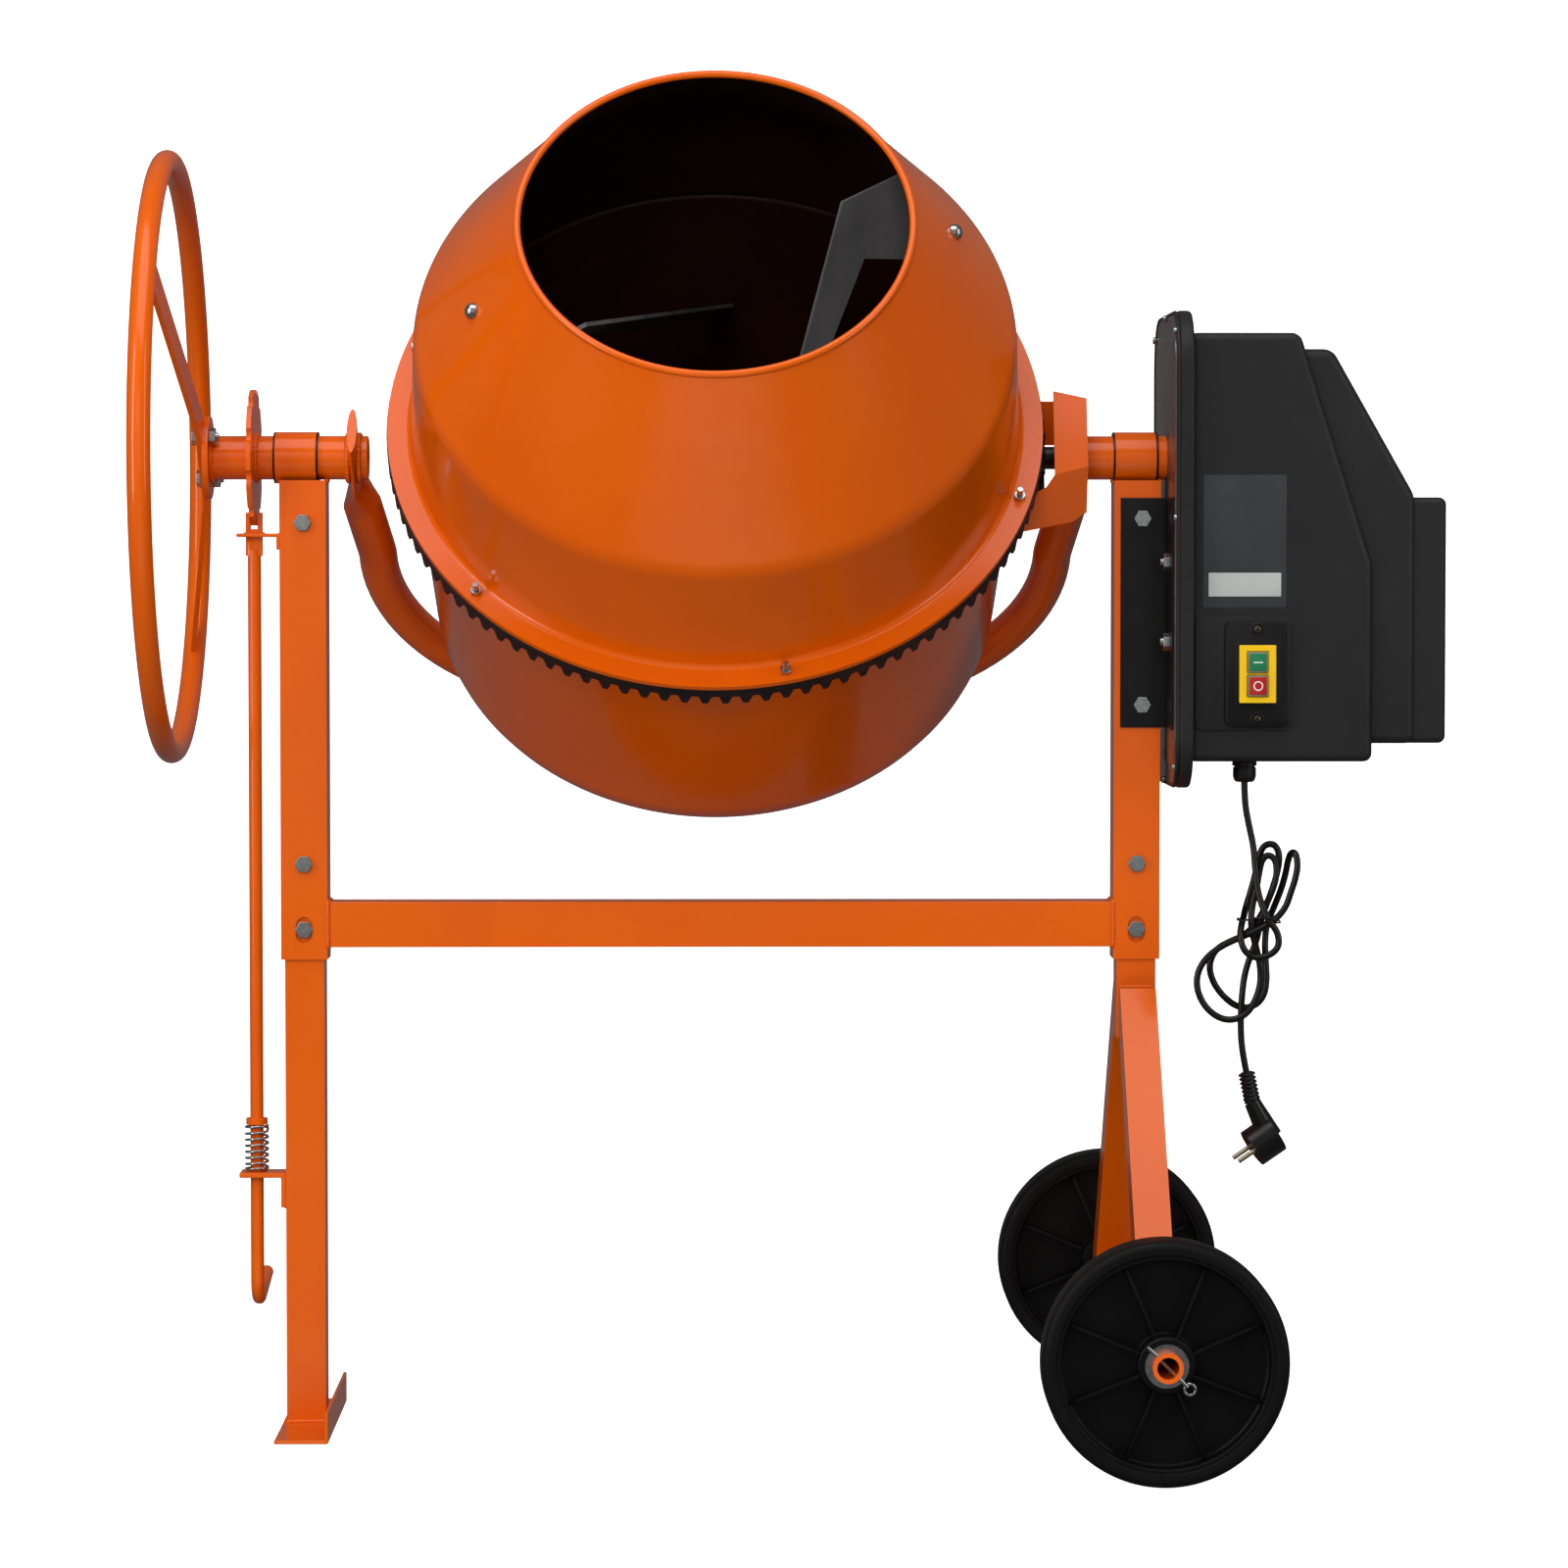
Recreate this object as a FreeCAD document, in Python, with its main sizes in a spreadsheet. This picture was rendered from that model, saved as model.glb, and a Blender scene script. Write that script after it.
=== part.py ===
"""Tilting-drum concrete mixer: a parametric assembly, one STEP file for each node.

Millimetres. +Z is up, +X runs from the handwheel to the motor, -Y is the side the
mouth of the drum points to. The drum tilts about an axis along X, and turns about
an axis that leans drum_elevation above the horizontal when the mixer is at rest.
"""
import FreeCAD, Part
import math
import os

Vector = FreeCAD.Vector
Rotation = FreeCAD.Rotation
Placement = FreeCAD.Placement
X_DIR = Vector(1, 0, 0)
Y_DIR = Vector(0, 1, 0)
Z_DIR = Vector(0, 0, 1)

doc = FreeCAD.newDocument("ConcreteMixer")

# ---------------------------------------------------------------- driving sizes
SIZES = dict(
    # the drum's tilt axis and how it sits at rest
    tilt_height=941, drum_elevation=37.5,
    # square tubes of the stand
    post_side=45, post_wall=2, post_foot_height=455, left_post_x=398.5, right_post_x=408.5,
    beam_side=44, beam_height=489, leg_side=38, leg_wall=2, leg_top_height=565,
    saddle_depth=3, stub_foot_height=378,
    # foot plate, an angle that runs front to back
    foot_width=52, foot_length=250, foot_plate=3.5, foot_flange=30, foot_overhang=4,
    # bearing sleeves and tilt trunnions
    sleeve_outer=50, sleeve_length=40, left_sleeve_x=405.5, right_sleeve_x=407,
    trunnion_outer=42.4, trunnion_wall=3, running_play=0.05, washer_outer=50, washer_thickness=1.6,
    left_trunnion_inner_x=336, left_trunnion_outer_x=488, right_trunnion_inner_x=337,
    right_trunnion_outer_x=446,
    # axle, its legs and the wheels
    axle_outer=28, axle_wall=4, axle_half=390, axle_leg_side=35, axle_leg_wall=2,
    axle_leg_spread=290, axle_leg_top_height=428, wheel_radius=113, wheel_width=45,
    wheel_track=700, wheel_rim=14, wheel_web=6, wheel_hub_outer=52, wheel_hub_width=50,
    wheel_play=0.1, rib_count=8, rib_thickness=4, rib_width=30, axle_washer_outer=40,
    axle_washer_thickness=2.5, cotter_diameter=3.6, cotter_length=52,
    # bolts
    bolt_diameter=8, bolt_flats=15, bolt_head=5.5, nut_thickness=6.5, hole_play=0.25,
    lower_bolt_height=484, middle_bolt_height=548, upper_bolt_height=878,
    slot_width=16, slot_height=25,
    # drum shell
    mouth_reach=347, mouth_radius=181.5, mouth_bead=7, shell_wall=2.5, shoulder_reach=188,
    shoulder_radius=284, shoulder_round=45, flange_reach=52.5, flange_radius=315,
    shell_flange_radius=292, barrel_radius=277, base_reach=250, base_round=60, cone_foot_round=6, barrel_top_round=3.5,
    flange_bolt_count=6, flange_bolt_phase=42.4, flange_bolt_diameter=6, flange_bolt_flats=10, flange_bolt_circle=304,
    flange_bolt_nut=5, flange_bolt_extra=8, stud_depth=7,
    blade_sheet=4, blade_bolt_reach=276, blade_bolt_angle=12.2, blade_tab_turn=9, blade_tab_half=40,
    # crown gear and its pinion
    gear_teeth=104, gear_outer=316, gear_inner=297, gear_body=9.5, tooth_height=10.5,
    slot_root_width=6.35, slot_tip_width=14.0, pinion_teeth=12,
    pinion_tip=40, pinion_root=28.6, pinion_width=25, pinion_tooth_tip=3.4,
    pinion_tooth_root=11.0, pinion_inner_x=293.2,
    # spindle and hub under the drum
    spindle_diameter=30, spindle_plate_radius=110, spindle_plate=6, spindle_end_reach=366,
    hub_outer=76, hub_gap=6,
    # yoke
    yoke_tube=38, yoke_wall=3, yoke_half_width=335, yoke_reach=390, yoke_bend=235, yoke_shoulder=150,
    yoke_neck_bend=50,
    yoke_flat_x=350, yoke_flat_thickness=10, yoke_flat_width=54, yoke_flat_top=42,
    # guard round the pinion
    guard_sheet=3,
    # locking disc and the pedal that frees it
    disc_x=447, disc_radius=66, disc_thickness=5, disc_notches=10, disc_notch_radius=7,
    rod_x=447, rod_diameter=13, rod_bottom=116, pedal_bend=22, pedal_length=105,
    latch_width=16, latch_depth=10, latch_top=888, latch_bottom=846, latch_slot=7,
    latch_slot_bottom=872, latch_pin=4, latch_pin_height=867, guide_height=866,
    guide_thickness=3.5, guide_width=34, guide_reach=16, rod_play=0.5,
    spring_seat_height=247, spring_seat_thickness=5, spring_length=46, spring_outer=24,
    spring_wire=2.6, spring_turns=7, spring_stop=6, bracket_drop=34,
    # handwheel
    handwheel_x=527, handwheel_radius=285, handwheel_tube=22.4, handwheel_wall=2, spoke_width=32, spoke_thickness=5,
    spoke_angle=41, hub_bar_half=48, wheel_flange_radius=40, wheel_flange_thickness=6,
    wheel_bolt_offset=30.2,
    # drive housing
    plate_x=438, plate_thickness=2, cover_width=260, cover_bottom=624, cover_top=1080,
    cover_corner=50, cover_rim_depth=14, cover_rim_width=9, cover_wall=3,
    body_half=111, body_bottom=650, body_top=1058, body_corner=34, body_near_x=556,
    body_far_x=626, body_knee_height=838, back_half=101, back_top=1043, back_near_x=588,
    back_far_x=668, back_knee_height=902, bulge_half=96, bulge_bottom=667, bulge_x=698,
    bulge_corner=24,
    # black bracket between post and housing
    bracket_sheet=3, bracket_bottom=680, bracket_top=902, bracket_near_x=392, bracket_reach=100,
    # drive train inside the housing
    shaft_diameter=22, bearing_length=12, pulley_x=466, pulley_width=12, pulley_radius=94.6,
    pulley_flange=99, pulley_cheek=2, belt_thickness=4, belt_gap=0.4, motor_height=785,
    motor_radius=75, motor_near_x=492, motor_far_x=676, motor_pulley_radius=18.6,
    motor_pulley_flange=23, motor_shaft=14, motor_boss=8,
    # switch
    switch_x=514.5, switch_z=734, switch_width=61, switch_height=100, switch_depth=11,
    bezel_width=35, bezel_height=55, bezel_depth=6, button_width=19.4,
    button_height=20, button_gap=0.4, button_proud=2.5, stop_proud=4, button_travel=3,
    switch_screw=6, switch_screw_offset=42.5,
    # lead
    gland_x=508, gland_y=70, gland_outer=22, gland_length=21, cord_diameter=6.5,
    hank_thickness=32, plug_radius=19, plug_depth=27, pin_diameter=4.8, pin_length=19,
    pin_spacing=19,
)
sheet = doc.addObject("Spreadsheet::Sheet", "Sizes")
for row, (alias, number) in enumerate(SIZES.items(), start=1):
    sheet.set(f"A{row}", alias)
    sheet.set(f"B{row}", str(number))
    sheet.setAlias(f"B{row}", alias)
doc.recompute()


def size(alias):
    """The number that the sheet holds under this name."""
    return float(sheet.get(alias))


# ---------------------------------------------------------------- frames of reference
drum_lean = 90 - size("drum_elevation")
drum_turn = Rotation(X_DIR, drum_lean)
mouth_front = (size("mouth_reach") * math.sin(math.radians(drum_lean))
               + (size("mouth_radius") + size("mouth_bead") / 2) * math.cos(math.radians(drum_lean)))
left_end = -size("handwheel_x") - size("handwheel_tube") / 2
# the origin lies on the floor under the middle of the whole mixer
origin_x = (size("bulge_x") + left_end) / 2
origin_y = (size("axle_half") - max(size("axle_half"), mouth_front)) / 2
print(f"origin from the drum's axis: x {origin_x:.2f}, y {origin_y:.2f}")


def at(x=0.0, y=0.0, z=0.0, turn=None):
    """Placement at a point measured from the drum's middle plane, tilt axis and floor."""
    return Placement(Vector(x - origin_x, y - origin_y, z), turn or Rotation())


def on_drum(x=0.0, y=0.0, reach=0.0, turn=None):
    """Placement in the drum's own frame: reach runs along its axis towards the mouth."""
    base = at(0, 0, size("tilt_height"), drum_turn)
    return base.multiply(Placement(Vector(x, y, reach), turn or Rotation()))


# ---------------------------------------------------------------- small tools
nodes = []


def keep(obj, label):
    """Name a finished sub-part and list it for export."""
    obj.Label = label
    nodes.append(obj)
    return obj


def bind(obj, **expressions):
    """Bind properties to the sheet, such as Length="post_side"."""
    for prop, formula in expressions.items():
        words = formula.split(" ")
        words = ["Sizes." + word if word in SIZES else word for word in words]
        obj.setExpression(prop, " ".join(words))
    return obj


def block(x_size, y_size, z_size, place):
    """Box centred on its placement in x and y, standing on it in z."""
    obj = doc.addObject("Part::Box", "Block")
    bind(obj, Length=x_size, Width=y_size, Height=z_size)
    doc.recompute()
    obj.Placement = place.multiply(Placement(Vector(-obj.Length.Value / 2, -obj.Width.Value / 2, 0), Rotation()))
    return obj


def rod(radius, height, place):
    """Cylinder that stands on its placement along the local z axis."""
    obj = doc.addObject("Part::Cylinder", "Rod")
    bind(obj, Radius=radius, Height=height)
    obj.Placement = place
    return obj


def cut(base, *tools):
    """Base without the tools."""
    tool = tools[0]
    if len(tools) > 1:
        tool = doc.addObject("Part::MultiFuse", "Tools")
        tool.Shapes = list(tools)
    obj = doc.addObject("Part::Cut", "Cut")
    obj.Base = base
    obj.Tool = tool
    return obj


def fuse(*pieces):
    """One solid from several."""
    obj = doc.addObject("Part::MultiFuse", "Fuse")
    obj.Shapes = list(pieces)
    obj.Refine = True
    return obj


def group(*pieces):
    """Separate solids that share one node."""
    obj = doc.addObject("Part::Compound", "Group")
    obj.Links = list(pieces)
    return obj


def feature(shape, place=None):
    """A shape made with Part's own functions."""
    obj = doc.addObject("Part::Feature", "Shape")
    obj.Shape = shape
    obj.Placement = place or at()
    return obj


def tube(outer, inner, length, place):
    """Round tube along the local z axis."""
    return cut(rod(outer, length, place), rod(inner, length, place))


def square_tube(side, wall, length, place):
    """Square tube along the local z axis."""
    hollow = f"{side} - 2 * {wall}"
    return cut(block(side, side, length, place), block(hollow, hollow, length, place))


def rounded_path(points, radii):
    """Straight runs joined by tangent arcs: edges, the same for flat and for spatial paths."""
    edges = []
    start = points[0]
    for index in range(1, len(points) - 1):
        corner = points[index]
        back = (points[index - 1] - corner).normalize()
        ahead = (points[index + 1] - corner).normalize()
        half_turn = (math.pi - back.getAngle(ahead)) / 2
        radius = radii[index - 1]
        reach = radius * math.tan(half_turn)
        first = corner + back * reach
        last = corner + ahead * reach
        middle_line = (back + ahead).normalize()
        middle = corner + middle_line * (radius / math.cos(half_turn) - radius)
        if start.distanceToPoint(first) > 0.001:
            edges.append(Part.LineSegment(start, first).toShape())
        edges.append(Part.Arc(first, middle, last).toShape())
        start = last
    edges.append(Part.LineSegment(start, points[-1]).toShape())
    return edges


def sweep(path_edges, radius):
    """Solid round bar along a path."""
    path = Part.Wire(path_edges)
    first = path_edges[0]
    tangent = first.tangentAt(first.FirstParameter)
    ring = Part.Wire(Part.makeCircle(radius, first.valueAt(first.FirstParameter), tangent))
    return path.makePipeShell([ring], True, True)


def polygon(points, thickness):
    """Flat plate: a face through the points, made thick along the vector thickness."""
    wire = Part.makePolygon(list(points) + [points[0]])
    return Part.Face(wire).extrude(thickness)


def rounded_slab(width, height, corner, length):
    """Rounded rectangle in local y and z, extruded along x."""
    half_width = width / 2
    half_height = height / 2
    corners = [Vector(0, 0, -half_height), Vector(0, half_width, -half_height),
               Vector(0, half_width, half_height), Vector(0, -half_width, half_height),
               Vector(0, -half_width, -half_height), Vector(0, 0, -half_height)]
    wire = Part.Wire(rounded_path(corners, [corner] * 4))
    return Part.Face(wire).extrude(Vector(length, 0, 0))


def new_body(name):
    return doc.addObject("PartDesign::Body", name)


def sketch_in(body, role):
    """Sketch on one of the body's own origin planes."""
    sketch = body.newObject("Sketcher::SketchObject", "Sketch")
    plane = [item for item in body.Origin.OriginFeatures if item.Role == role][0]
    sketch.AttachmentSupport = [(plane, "")]
    sketch.MapMode = "FlatFace"
    return sketch


def draw_circle(sketch, name, diameter):
    """Circle about the sketch's origin, its diameter bound to the sheet."""
    import Sketcher
    index = sketch.addGeometry(Part.Circle(Vector(0, 0, 0), Z_DIR, 5))
    sketch.addConstraint(Sketcher.Constraint("Coincident", index, 3, -1, 1))
    number = sketch.addConstraint(Sketcher.Constraint("Diameter", index, 10))
    sketch.renameConstraint(number, name)
    bind(sketch, **{f"Constraints.{name}": diameter})


def draw_edges(sketch, edges):
    """Outline of lines and arcs, end to end."""
    import Sketcher
    first = sketch.GeometryCount
    for edge in edges:
        curve = edge.Curve
        start = edge.valueAt(edge.FirstParameter)
        end = edge.valueAt(edge.LastParameter)
        if isinstance(curve, Part.Line):
            sketch.addGeometry(Part.LineSegment(start, end))
        else:
            middle = edge.valueAt((edge.FirstParameter + edge.LastParameter) / 2)
            sketch.addGeometry(Part.Arc(start, middle, end))


def pad(body, sketch, length, reverse=False, middle=False):
    obj = body.newObject("PartDesign::Pad", "Pad")
    obj.Profile = sketch
    bind(obj, Length=length)
    obj.Reversed = reverse
    obj.Midplane = middle
    return obj


def revolve(body, sketch):
    """Full turn about the sketch's vertical axis."""
    obj = body.newObject("PartDesign::Revolution", "Revolution")
    obj.Profile = sketch
    obj.ReferenceAxis = (sketch, ["V_Axis"])
    obj.Angle = 360
    return obj


def ring_body(name, outer, inner, length, place):
    """Round ring padded from a sketch with two bound circles, along the local z axis."""
    body = new_body(name)
    sketch = sketch_in(body, "XY_Plane")
    draw_circle(sketch, "Outer", outer)
    draw_circle(sketch, "Inner", inner)
    pad(body, sketch, length)
    body.Placement = place
    return body


def hexagon(flats, height, place):
    """Hexagonal prism on its placement, flats measured across."""
    obj = doc.addObject("Part::Prism", "Hexagon")
    obj.Polygon = 6
    bind(obj, Circumradius=f"{flats} / 2 / cos(30deg)", Height=height)
    obj.Placement = place
    return obj


def bolt(place, grip, diameter="bolt_diameter", flats="bolt_flats", head="bolt_head",
         nut="nut_thickness", extra=3.0):
    """Hexagon bolt and nut: the head's seat is at the placement, the shank runs along +z."""
    shank_length = grip + size(nut) + extra
    below = place.multiply(Placement(Vector(0, 0, -size(head)), Rotation()))
    shank = rod(f"{diameter} / 2", f"{shank_length} + {head}", below)
    bolt_head = hexagon(flats, head, below)
    screw = fuse(bolt_head, shank)
    nut_place = place.multiply(Placement(Vector(0, 0, grip), Rotation()))
    nut_solid = cut(hexagon(flats, nut, nut_place), rod(f"{diameter} / 2", nut, nut_place))
    return [screw, nut_solid]


FACING_BACK = Rotation(X_DIR, -90)     # local z points along +Y
FACING_RIGHT = Rotation(Y_DIR, 90)     # local z points along +X
FACING_LEFT = Rotation(Y_DIR, -90)     # local z points along -X

# ---------------------------------------------------------------- the stand
tilt_height = size("tilt_height")
post_half = size("post_side") / 2
left_post_x = -size("left_post_x")
right_post_x = size("right_post_x")
sleeve_radius = size("sleeve_outer") / 2
post_top = tilt_height - sleeve_radius + size("saddle_depth")
post_length = post_top - size("post_foot_height")
bolt_heights = {"left": ["lower_bolt_height", "middle_bolt_height", "upper_bolt_height"],
                "right": ["lower_bolt_height", "middle_bolt_height"]}
bracket_bolt_heights = [size("bracket_top") - 20, size("bracket_bottom") + 22]
bracket_bolt_x = right_post_x + 4.5


def bolt_hole(x, z):
    reach = size("post_side") + 20
    return rod("bolt_diameter / 2 + hole_play", f"{reach}", at(x, -reach / 2, z, FACING_BACK))


def slot_hole(x, z):
    """Upright slot in the front wall, so the lowest bolt seats on the inner tube."""
    straight = size("slot_height") - size("slot_width")
    radius = size("slot_width") / 2
    points = [Vector(-radius, 0, 0), Vector(-radius, 0, -straight / 2 - radius),
              Vector(radius, 0, -straight / 2 - radius), Vector(radius, 0, straight / 2 + radius),
              Vector(-radius, 0, straight / 2 + radius), Vector(-radius, 0, 0)]
    wire = Part.Wire(rounded_path(points, [radius * 0.999] * 4))
    solid = Part.Face(wire).extrude(Vector(0, size("post_wall") + 4, 0))
    return feature(solid, at(x, -post_half - 3, z))


def post(side, x):
    tools = [rod("sleeve_outer / 2", "post_side + 4",
                 at(x - post_half - 2, 0, tilt_height, FACING_RIGHT)),
             slot_hole(x, size("lower_bolt_height"))]
    tools += [bolt_hole(x, size(name)) for name in bolt_heights[side]]
    if side == "right":
        tools += [bolt_hole(bracket_bolt_x, z) for z in bracket_bolt_heights]
    shell = square_tube("post_side", "post_wall", f"{post_length}", at(x, 0, size("post_foot_height")))
    return keep(cut(shell, *tools), side + "_post")


post("left", left_post_x)
post("right", right_post_x)

beam_length = (right_post_x - post_half) - (left_post_x + post_half)
beam = square_tube("beam_side", "post_wall", f"{beam_length}",
                   at(left_post_x + post_half, 0, size("beam_height"), FACING_RIGHT))
keep(beam, "cross_beam")

for side, centre in (("left", -size("left_sleeve_x")), ("right", size("right_sleeve_x"))):
    sleeve = ring_body(side + "_sleeve_body", "sleeve_outer", "trunnion_outer + 2 * running_play",
                       "sleeve_length", at(centre - size("sleeve_length") / 2, 0, tilt_height, FACING_RIGHT))
    keep(sleeve, side + "_bearing_sleeve")

washers = []
for centre in (-size("left_sleeve_x"), size("right_sleeve_x")):
    for edge in (centre - size("sleeve_length") / 2 - size("washer_thickness"),
                 centre + size("sleeve_length") / 2):
        washers.append(tube("washer_outer / 2", "trunnion_outer / 2 + running_play", "washer_thickness",
                            at(edge, 0, tilt_height, FACING_RIGHT)))
keep(group(*washers), "trunnion_washers")

# legs: inner tubes that slide into the posts
leg_half = size("leg_side") / 2


def leg(x, bottom, label):
    shell = square_tube("leg_side", "leg_wall", f"leg_top_height - {bottom}", at(x, 0, bottom))
    holes = [bolt_hole(x, size("lower_bolt_height")), bolt_hole(x, size("middle_bolt_height"))]
    return keep(cut(shell, *holes), label)


leg(left_post_x, size("foot_plate"), "left_leg")
leg(right_post_x, size("stub_foot_height"), "right_leg_stub")

# foot: an angle with its flange on the drum side
foot_left = left_post_x - leg_half - size("foot_overhang")
foot = new_body("FootBody")
foot_sketch = sketch_in(foot, "XZ_Plane")
foot_points = [Vector(0, 0, 0), Vector(size("foot_width"), 0, 0),
               Vector(size("foot_width"), size("foot_flange"), 0),
               Vector(size("foot_width") - size("foot_plate"), size("foot_flange"), 0),
               Vector(size("foot_width") - size("foot_plate"), size("foot_plate"), 0),
               Vector(0, size("foot_plate"), 0), Vector(0, 0, 0)]
draw_edges(foot_sketch, [Part.LineSegment(first, second).toShape()
                         for first, second in zip(foot_points, foot_points[1:])])
pad(foot, foot_sketch, "foot_length", middle=True)
foot.Placement = at(foot_left, 0, 0)
keep(foot, "foot_plate")

# spread legs from the stub down to the axle
axle_height = size("wheel_radius")
spread = size("axle_leg_spread") - leg_half
drop = size("axle_leg_top_height") - axle_height
lean = math.degrees(math.atan2(spread, drop))
axle_leg_length = math.hypot(spread, drop)
for label, sense in (("front_axle_leg", -1), ("rear_axle_leg", 1)):
    # the section's middle line starts half a leg outside the stub's face
    turn = Rotation(X_DIR, 180 + sense * lean)
    top = at(right_post_x, sense * leg_half, size("axle_leg_top_height"), turn)
    overlong = top.multiply(Placement(Vector(0, 0, -30), Rotation()))
    raw = square_tube("axle_leg_side", "axle_leg_wall", f"{axle_leg_length + 30}", overlong)
    stub_space = block("axle_leg_side + 10", "leg_side", "400",
                       at(right_post_x, 0, size("stub_foot_height")))
    other_half = block("axle_leg_side + 10", "leg_side + 200", "600",
                       at(right_post_x, -sense * (leg_half + 100), 0))
    sheet_top = block("axle_leg_side + 10", "400", "100",
                      at(right_post_x, sense * 200, size("axle_leg_top_height")))
    axle_space = rod("axle_outer / 2", "2 * axle_half", at(right_post_x, -size("axle_half"), axle_height, FACING_BACK))
    keep(cut(raw, stub_space, other_half, sheet_top, axle_space), label)

# ---------------------------------------------------------------- wheels
hub_half = size("wheel_hub_width") / 2
for label, sense in (("front_wheel", -1), ("rear_wheel", 1)):
    middle = sense * size("wheel_track") / 2
    body = new_body(label + "_body")
    sketch = sketch_in(body, "XZ_Plane")
    bore = size("axle_outer") / 2 + size("wheel_play")
    hub = size("wheel_hub_outer") / 2
    web = size("wheel_web") / 2
    outer = size("wheel_radius")
    inner = outer - size("wheel_rim")
    band = size("wheel_width") / 2
    profile = [(bore, -hub_half), (hub, -hub_half), (hub, -web), (inner, -web), (inner, -band),
               (outer - 4, -band), (outer, -band + 5), (outer, band - 5), (outer - 4, band),
               (inner, band), (inner, web), (hub, web), (hub, hub_half), (bore, hub_half),
               (bore, -hub_half)]
    corners = [Vector(r, z, 0) for r, z in profile]
    draw_edges(sketch, [Part.LineSegment(first, second).toShape()
                        for first, second in zip(corners, corners[1:])])
    revolve(body, sketch)
    rib_sketch = sketch_in(body, "XY_Plane")
    rib_half = size("rib_thickness") / 2
    rib = [Vector(hub - 2, -rib_half, 0), Vector(inner + 2, -rib_half, 0),
           Vector(inner + 2, rib_half, 0), Vector(hub - 2, rib_half, 0), Vector(hub - 2, -rib_half, 0)]
    draw_edges(rib_sketch, [Part.LineSegment(first, second).toShape()
                            for first, second in zip(rib, rib[1:])])
    rib_pad = pad(body, rib_sketch, "rib_width", middle=True)
    ribs = body.newObject("PartDesign::PolarPattern", "Ribs")
    ribs.Originals = [rib_pad]
    ribs.Axis = (rib_sketch, ["N_Axis"])
    ribs.Angle = 360
    bind(ribs, Occurrences="rib_count")
    body.Tip = ribs
    body.Placement = at(right_post_x, middle, axle_height, FACING_BACK)
    keep(body, label)

retainers = []
pin_holes = []
for sense in (-1, 1):
    face = size("wheel_track") / 2 + hub_half
    washer_start = face if sense > 0 else -face - size("axle_washer_thickness")
    retainers.append(tube("axle_washer_outer / 2", "axle_outer / 2", "axle_washer_thickness",
                          at(right_post_x, washer_start, axle_height, FACING_BACK)))
    pin_y = sense * (face + size("axle_washer_thickness") + size("cotter_diameter") / 2 + 1)
    pin_turn = Rotation(Y_DIR, 135)
    pin_place = at(right_post_x, pin_y, axle_height, pin_turn)
    half_pin = size("cotter_length") / 2
    legs = rod("cotter_diameter / 2", "cotter_length",
               pin_place.multiply(Placement(Vector(0, 0, -half_pin), Rotation())))
    eye = doc.addObject("Part::Torus", "Eye")
    bind(eye, Radius1="cotter_diameter * 1.4", Radius2="cotter_diameter / 2.6")
    eye.Placement = pin_place.multiply(Placement(Vector(0, 0, half_pin + 3), Rotation(X_DIR, 90)))
    retainers.append(fuse(legs, eye))
    pin_holes.append(rod("cotter_diameter / 2 + 0.2", "axle_outer + 10",
                         pin_place.multiply(Placement(Vector(0, 0, -size("axle_outer") / 2 - 5), Rotation()))))
keep(group(*retainers), "axle_washers_and_pins")
keep(cut(tube("axle_outer / 2", "axle_outer / 2 - axle_wall", "2 * axle_half",
              at(right_post_x, -size("axle_half"), axle_height, FACING_BACK)), *pin_holes), "wheel_axle")

# ---------------------------------------------------------------- drum shell
wall = size("shell_wall")


def offset_path(points, distance):
    """Polyline moved sideways by distance, corners mitred (points are radius, reach)."""
    moved = []
    for index, point in enumerate(points):
        sides = []
        if index > 0:
            sides.append((point - points[index - 1]).normalize())
        if index < len(points) - 1:
            sides.append((points[index + 1] - point).normalize())
        normals = [Vector(side.y, -side.x, 0) for side in sides]
        total = normals[0] if len(normals) == 1 else (normals[0] + normals[1]).normalize()
        stretch = 1 / total.dot(normals[0])
        moved.append(point + total * (distance * stretch))
    return moved


def shell_body(name, points, radii, turn_sign):
    """Sheet shell turned from a path of outer points, wall thickness measured inwards."""
    inner_points = offset_path(points, turn_sign * wall)
    inner_radii = []
    for index in range(1, len(points) - 1):
        before = points[index] - points[index - 1]
        after = points[index + 1] - points[index]
        bend = before.x * after.y - before.y * after.x
        inner_radii.append(radii[index - 1] + (wall if bend * turn_sign > 0 else -wall))
    outer = rounded_path(points, radii)
    inner = rounded_path(inner_points, inner_radii)
    ends = [Part.LineSegment(points[0], inner_points[0]).toShape(),
            Part.LineSegment(points[-1], inner_points[-1]).toShape()]
    body = new_body(name)
    sketch = sketch_in(body, "XZ_Plane")
    draw_edges(sketch, outer + inner + ends)
    revolve(body, sketch)
    body.Placement = on_drum()
    return body


flange_reach = size("flange_reach")
cone_points = [Vector(size("flange_radius"), flange_reach + wall, 0),
               Vector(size("shell_flange_radius"), flange_reach + wall, 0),
               Vector(size("shoulder_radius"), size("shoulder_reach"), 0),
               Vector(size("mouth_radius") + wall / 2, size("mouth_reach"), 0)]
cone = shell_body("ConeBody", cone_points, [size("cone_foot_round"), size("shoulder_round")], -1)
bead = doc.addObject("Part::Torus", "Bead")
bind(bead, Radius1="mouth_radius", Radius2="mouth_bead / 2")
bead.Placement = on_drum(reach=size("mouth_reach"))

barrel_points = [Vector(size("flange_radius"), flange_reach - wall, 0),
                 Vector(size("shell_flange_radius"), flange_reach - wall, 0),
                 Vector(size("barrel_radius"), -size("base_reach"), 0),
                 Vector(size("spindle_diameter") / 2, -size("base_reach"), 0)]
barrel = shell_body("BarrelBody", barrel_points, [size("barrel_top_round"), size("base_round")], 1)
doc.recompute()

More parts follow.
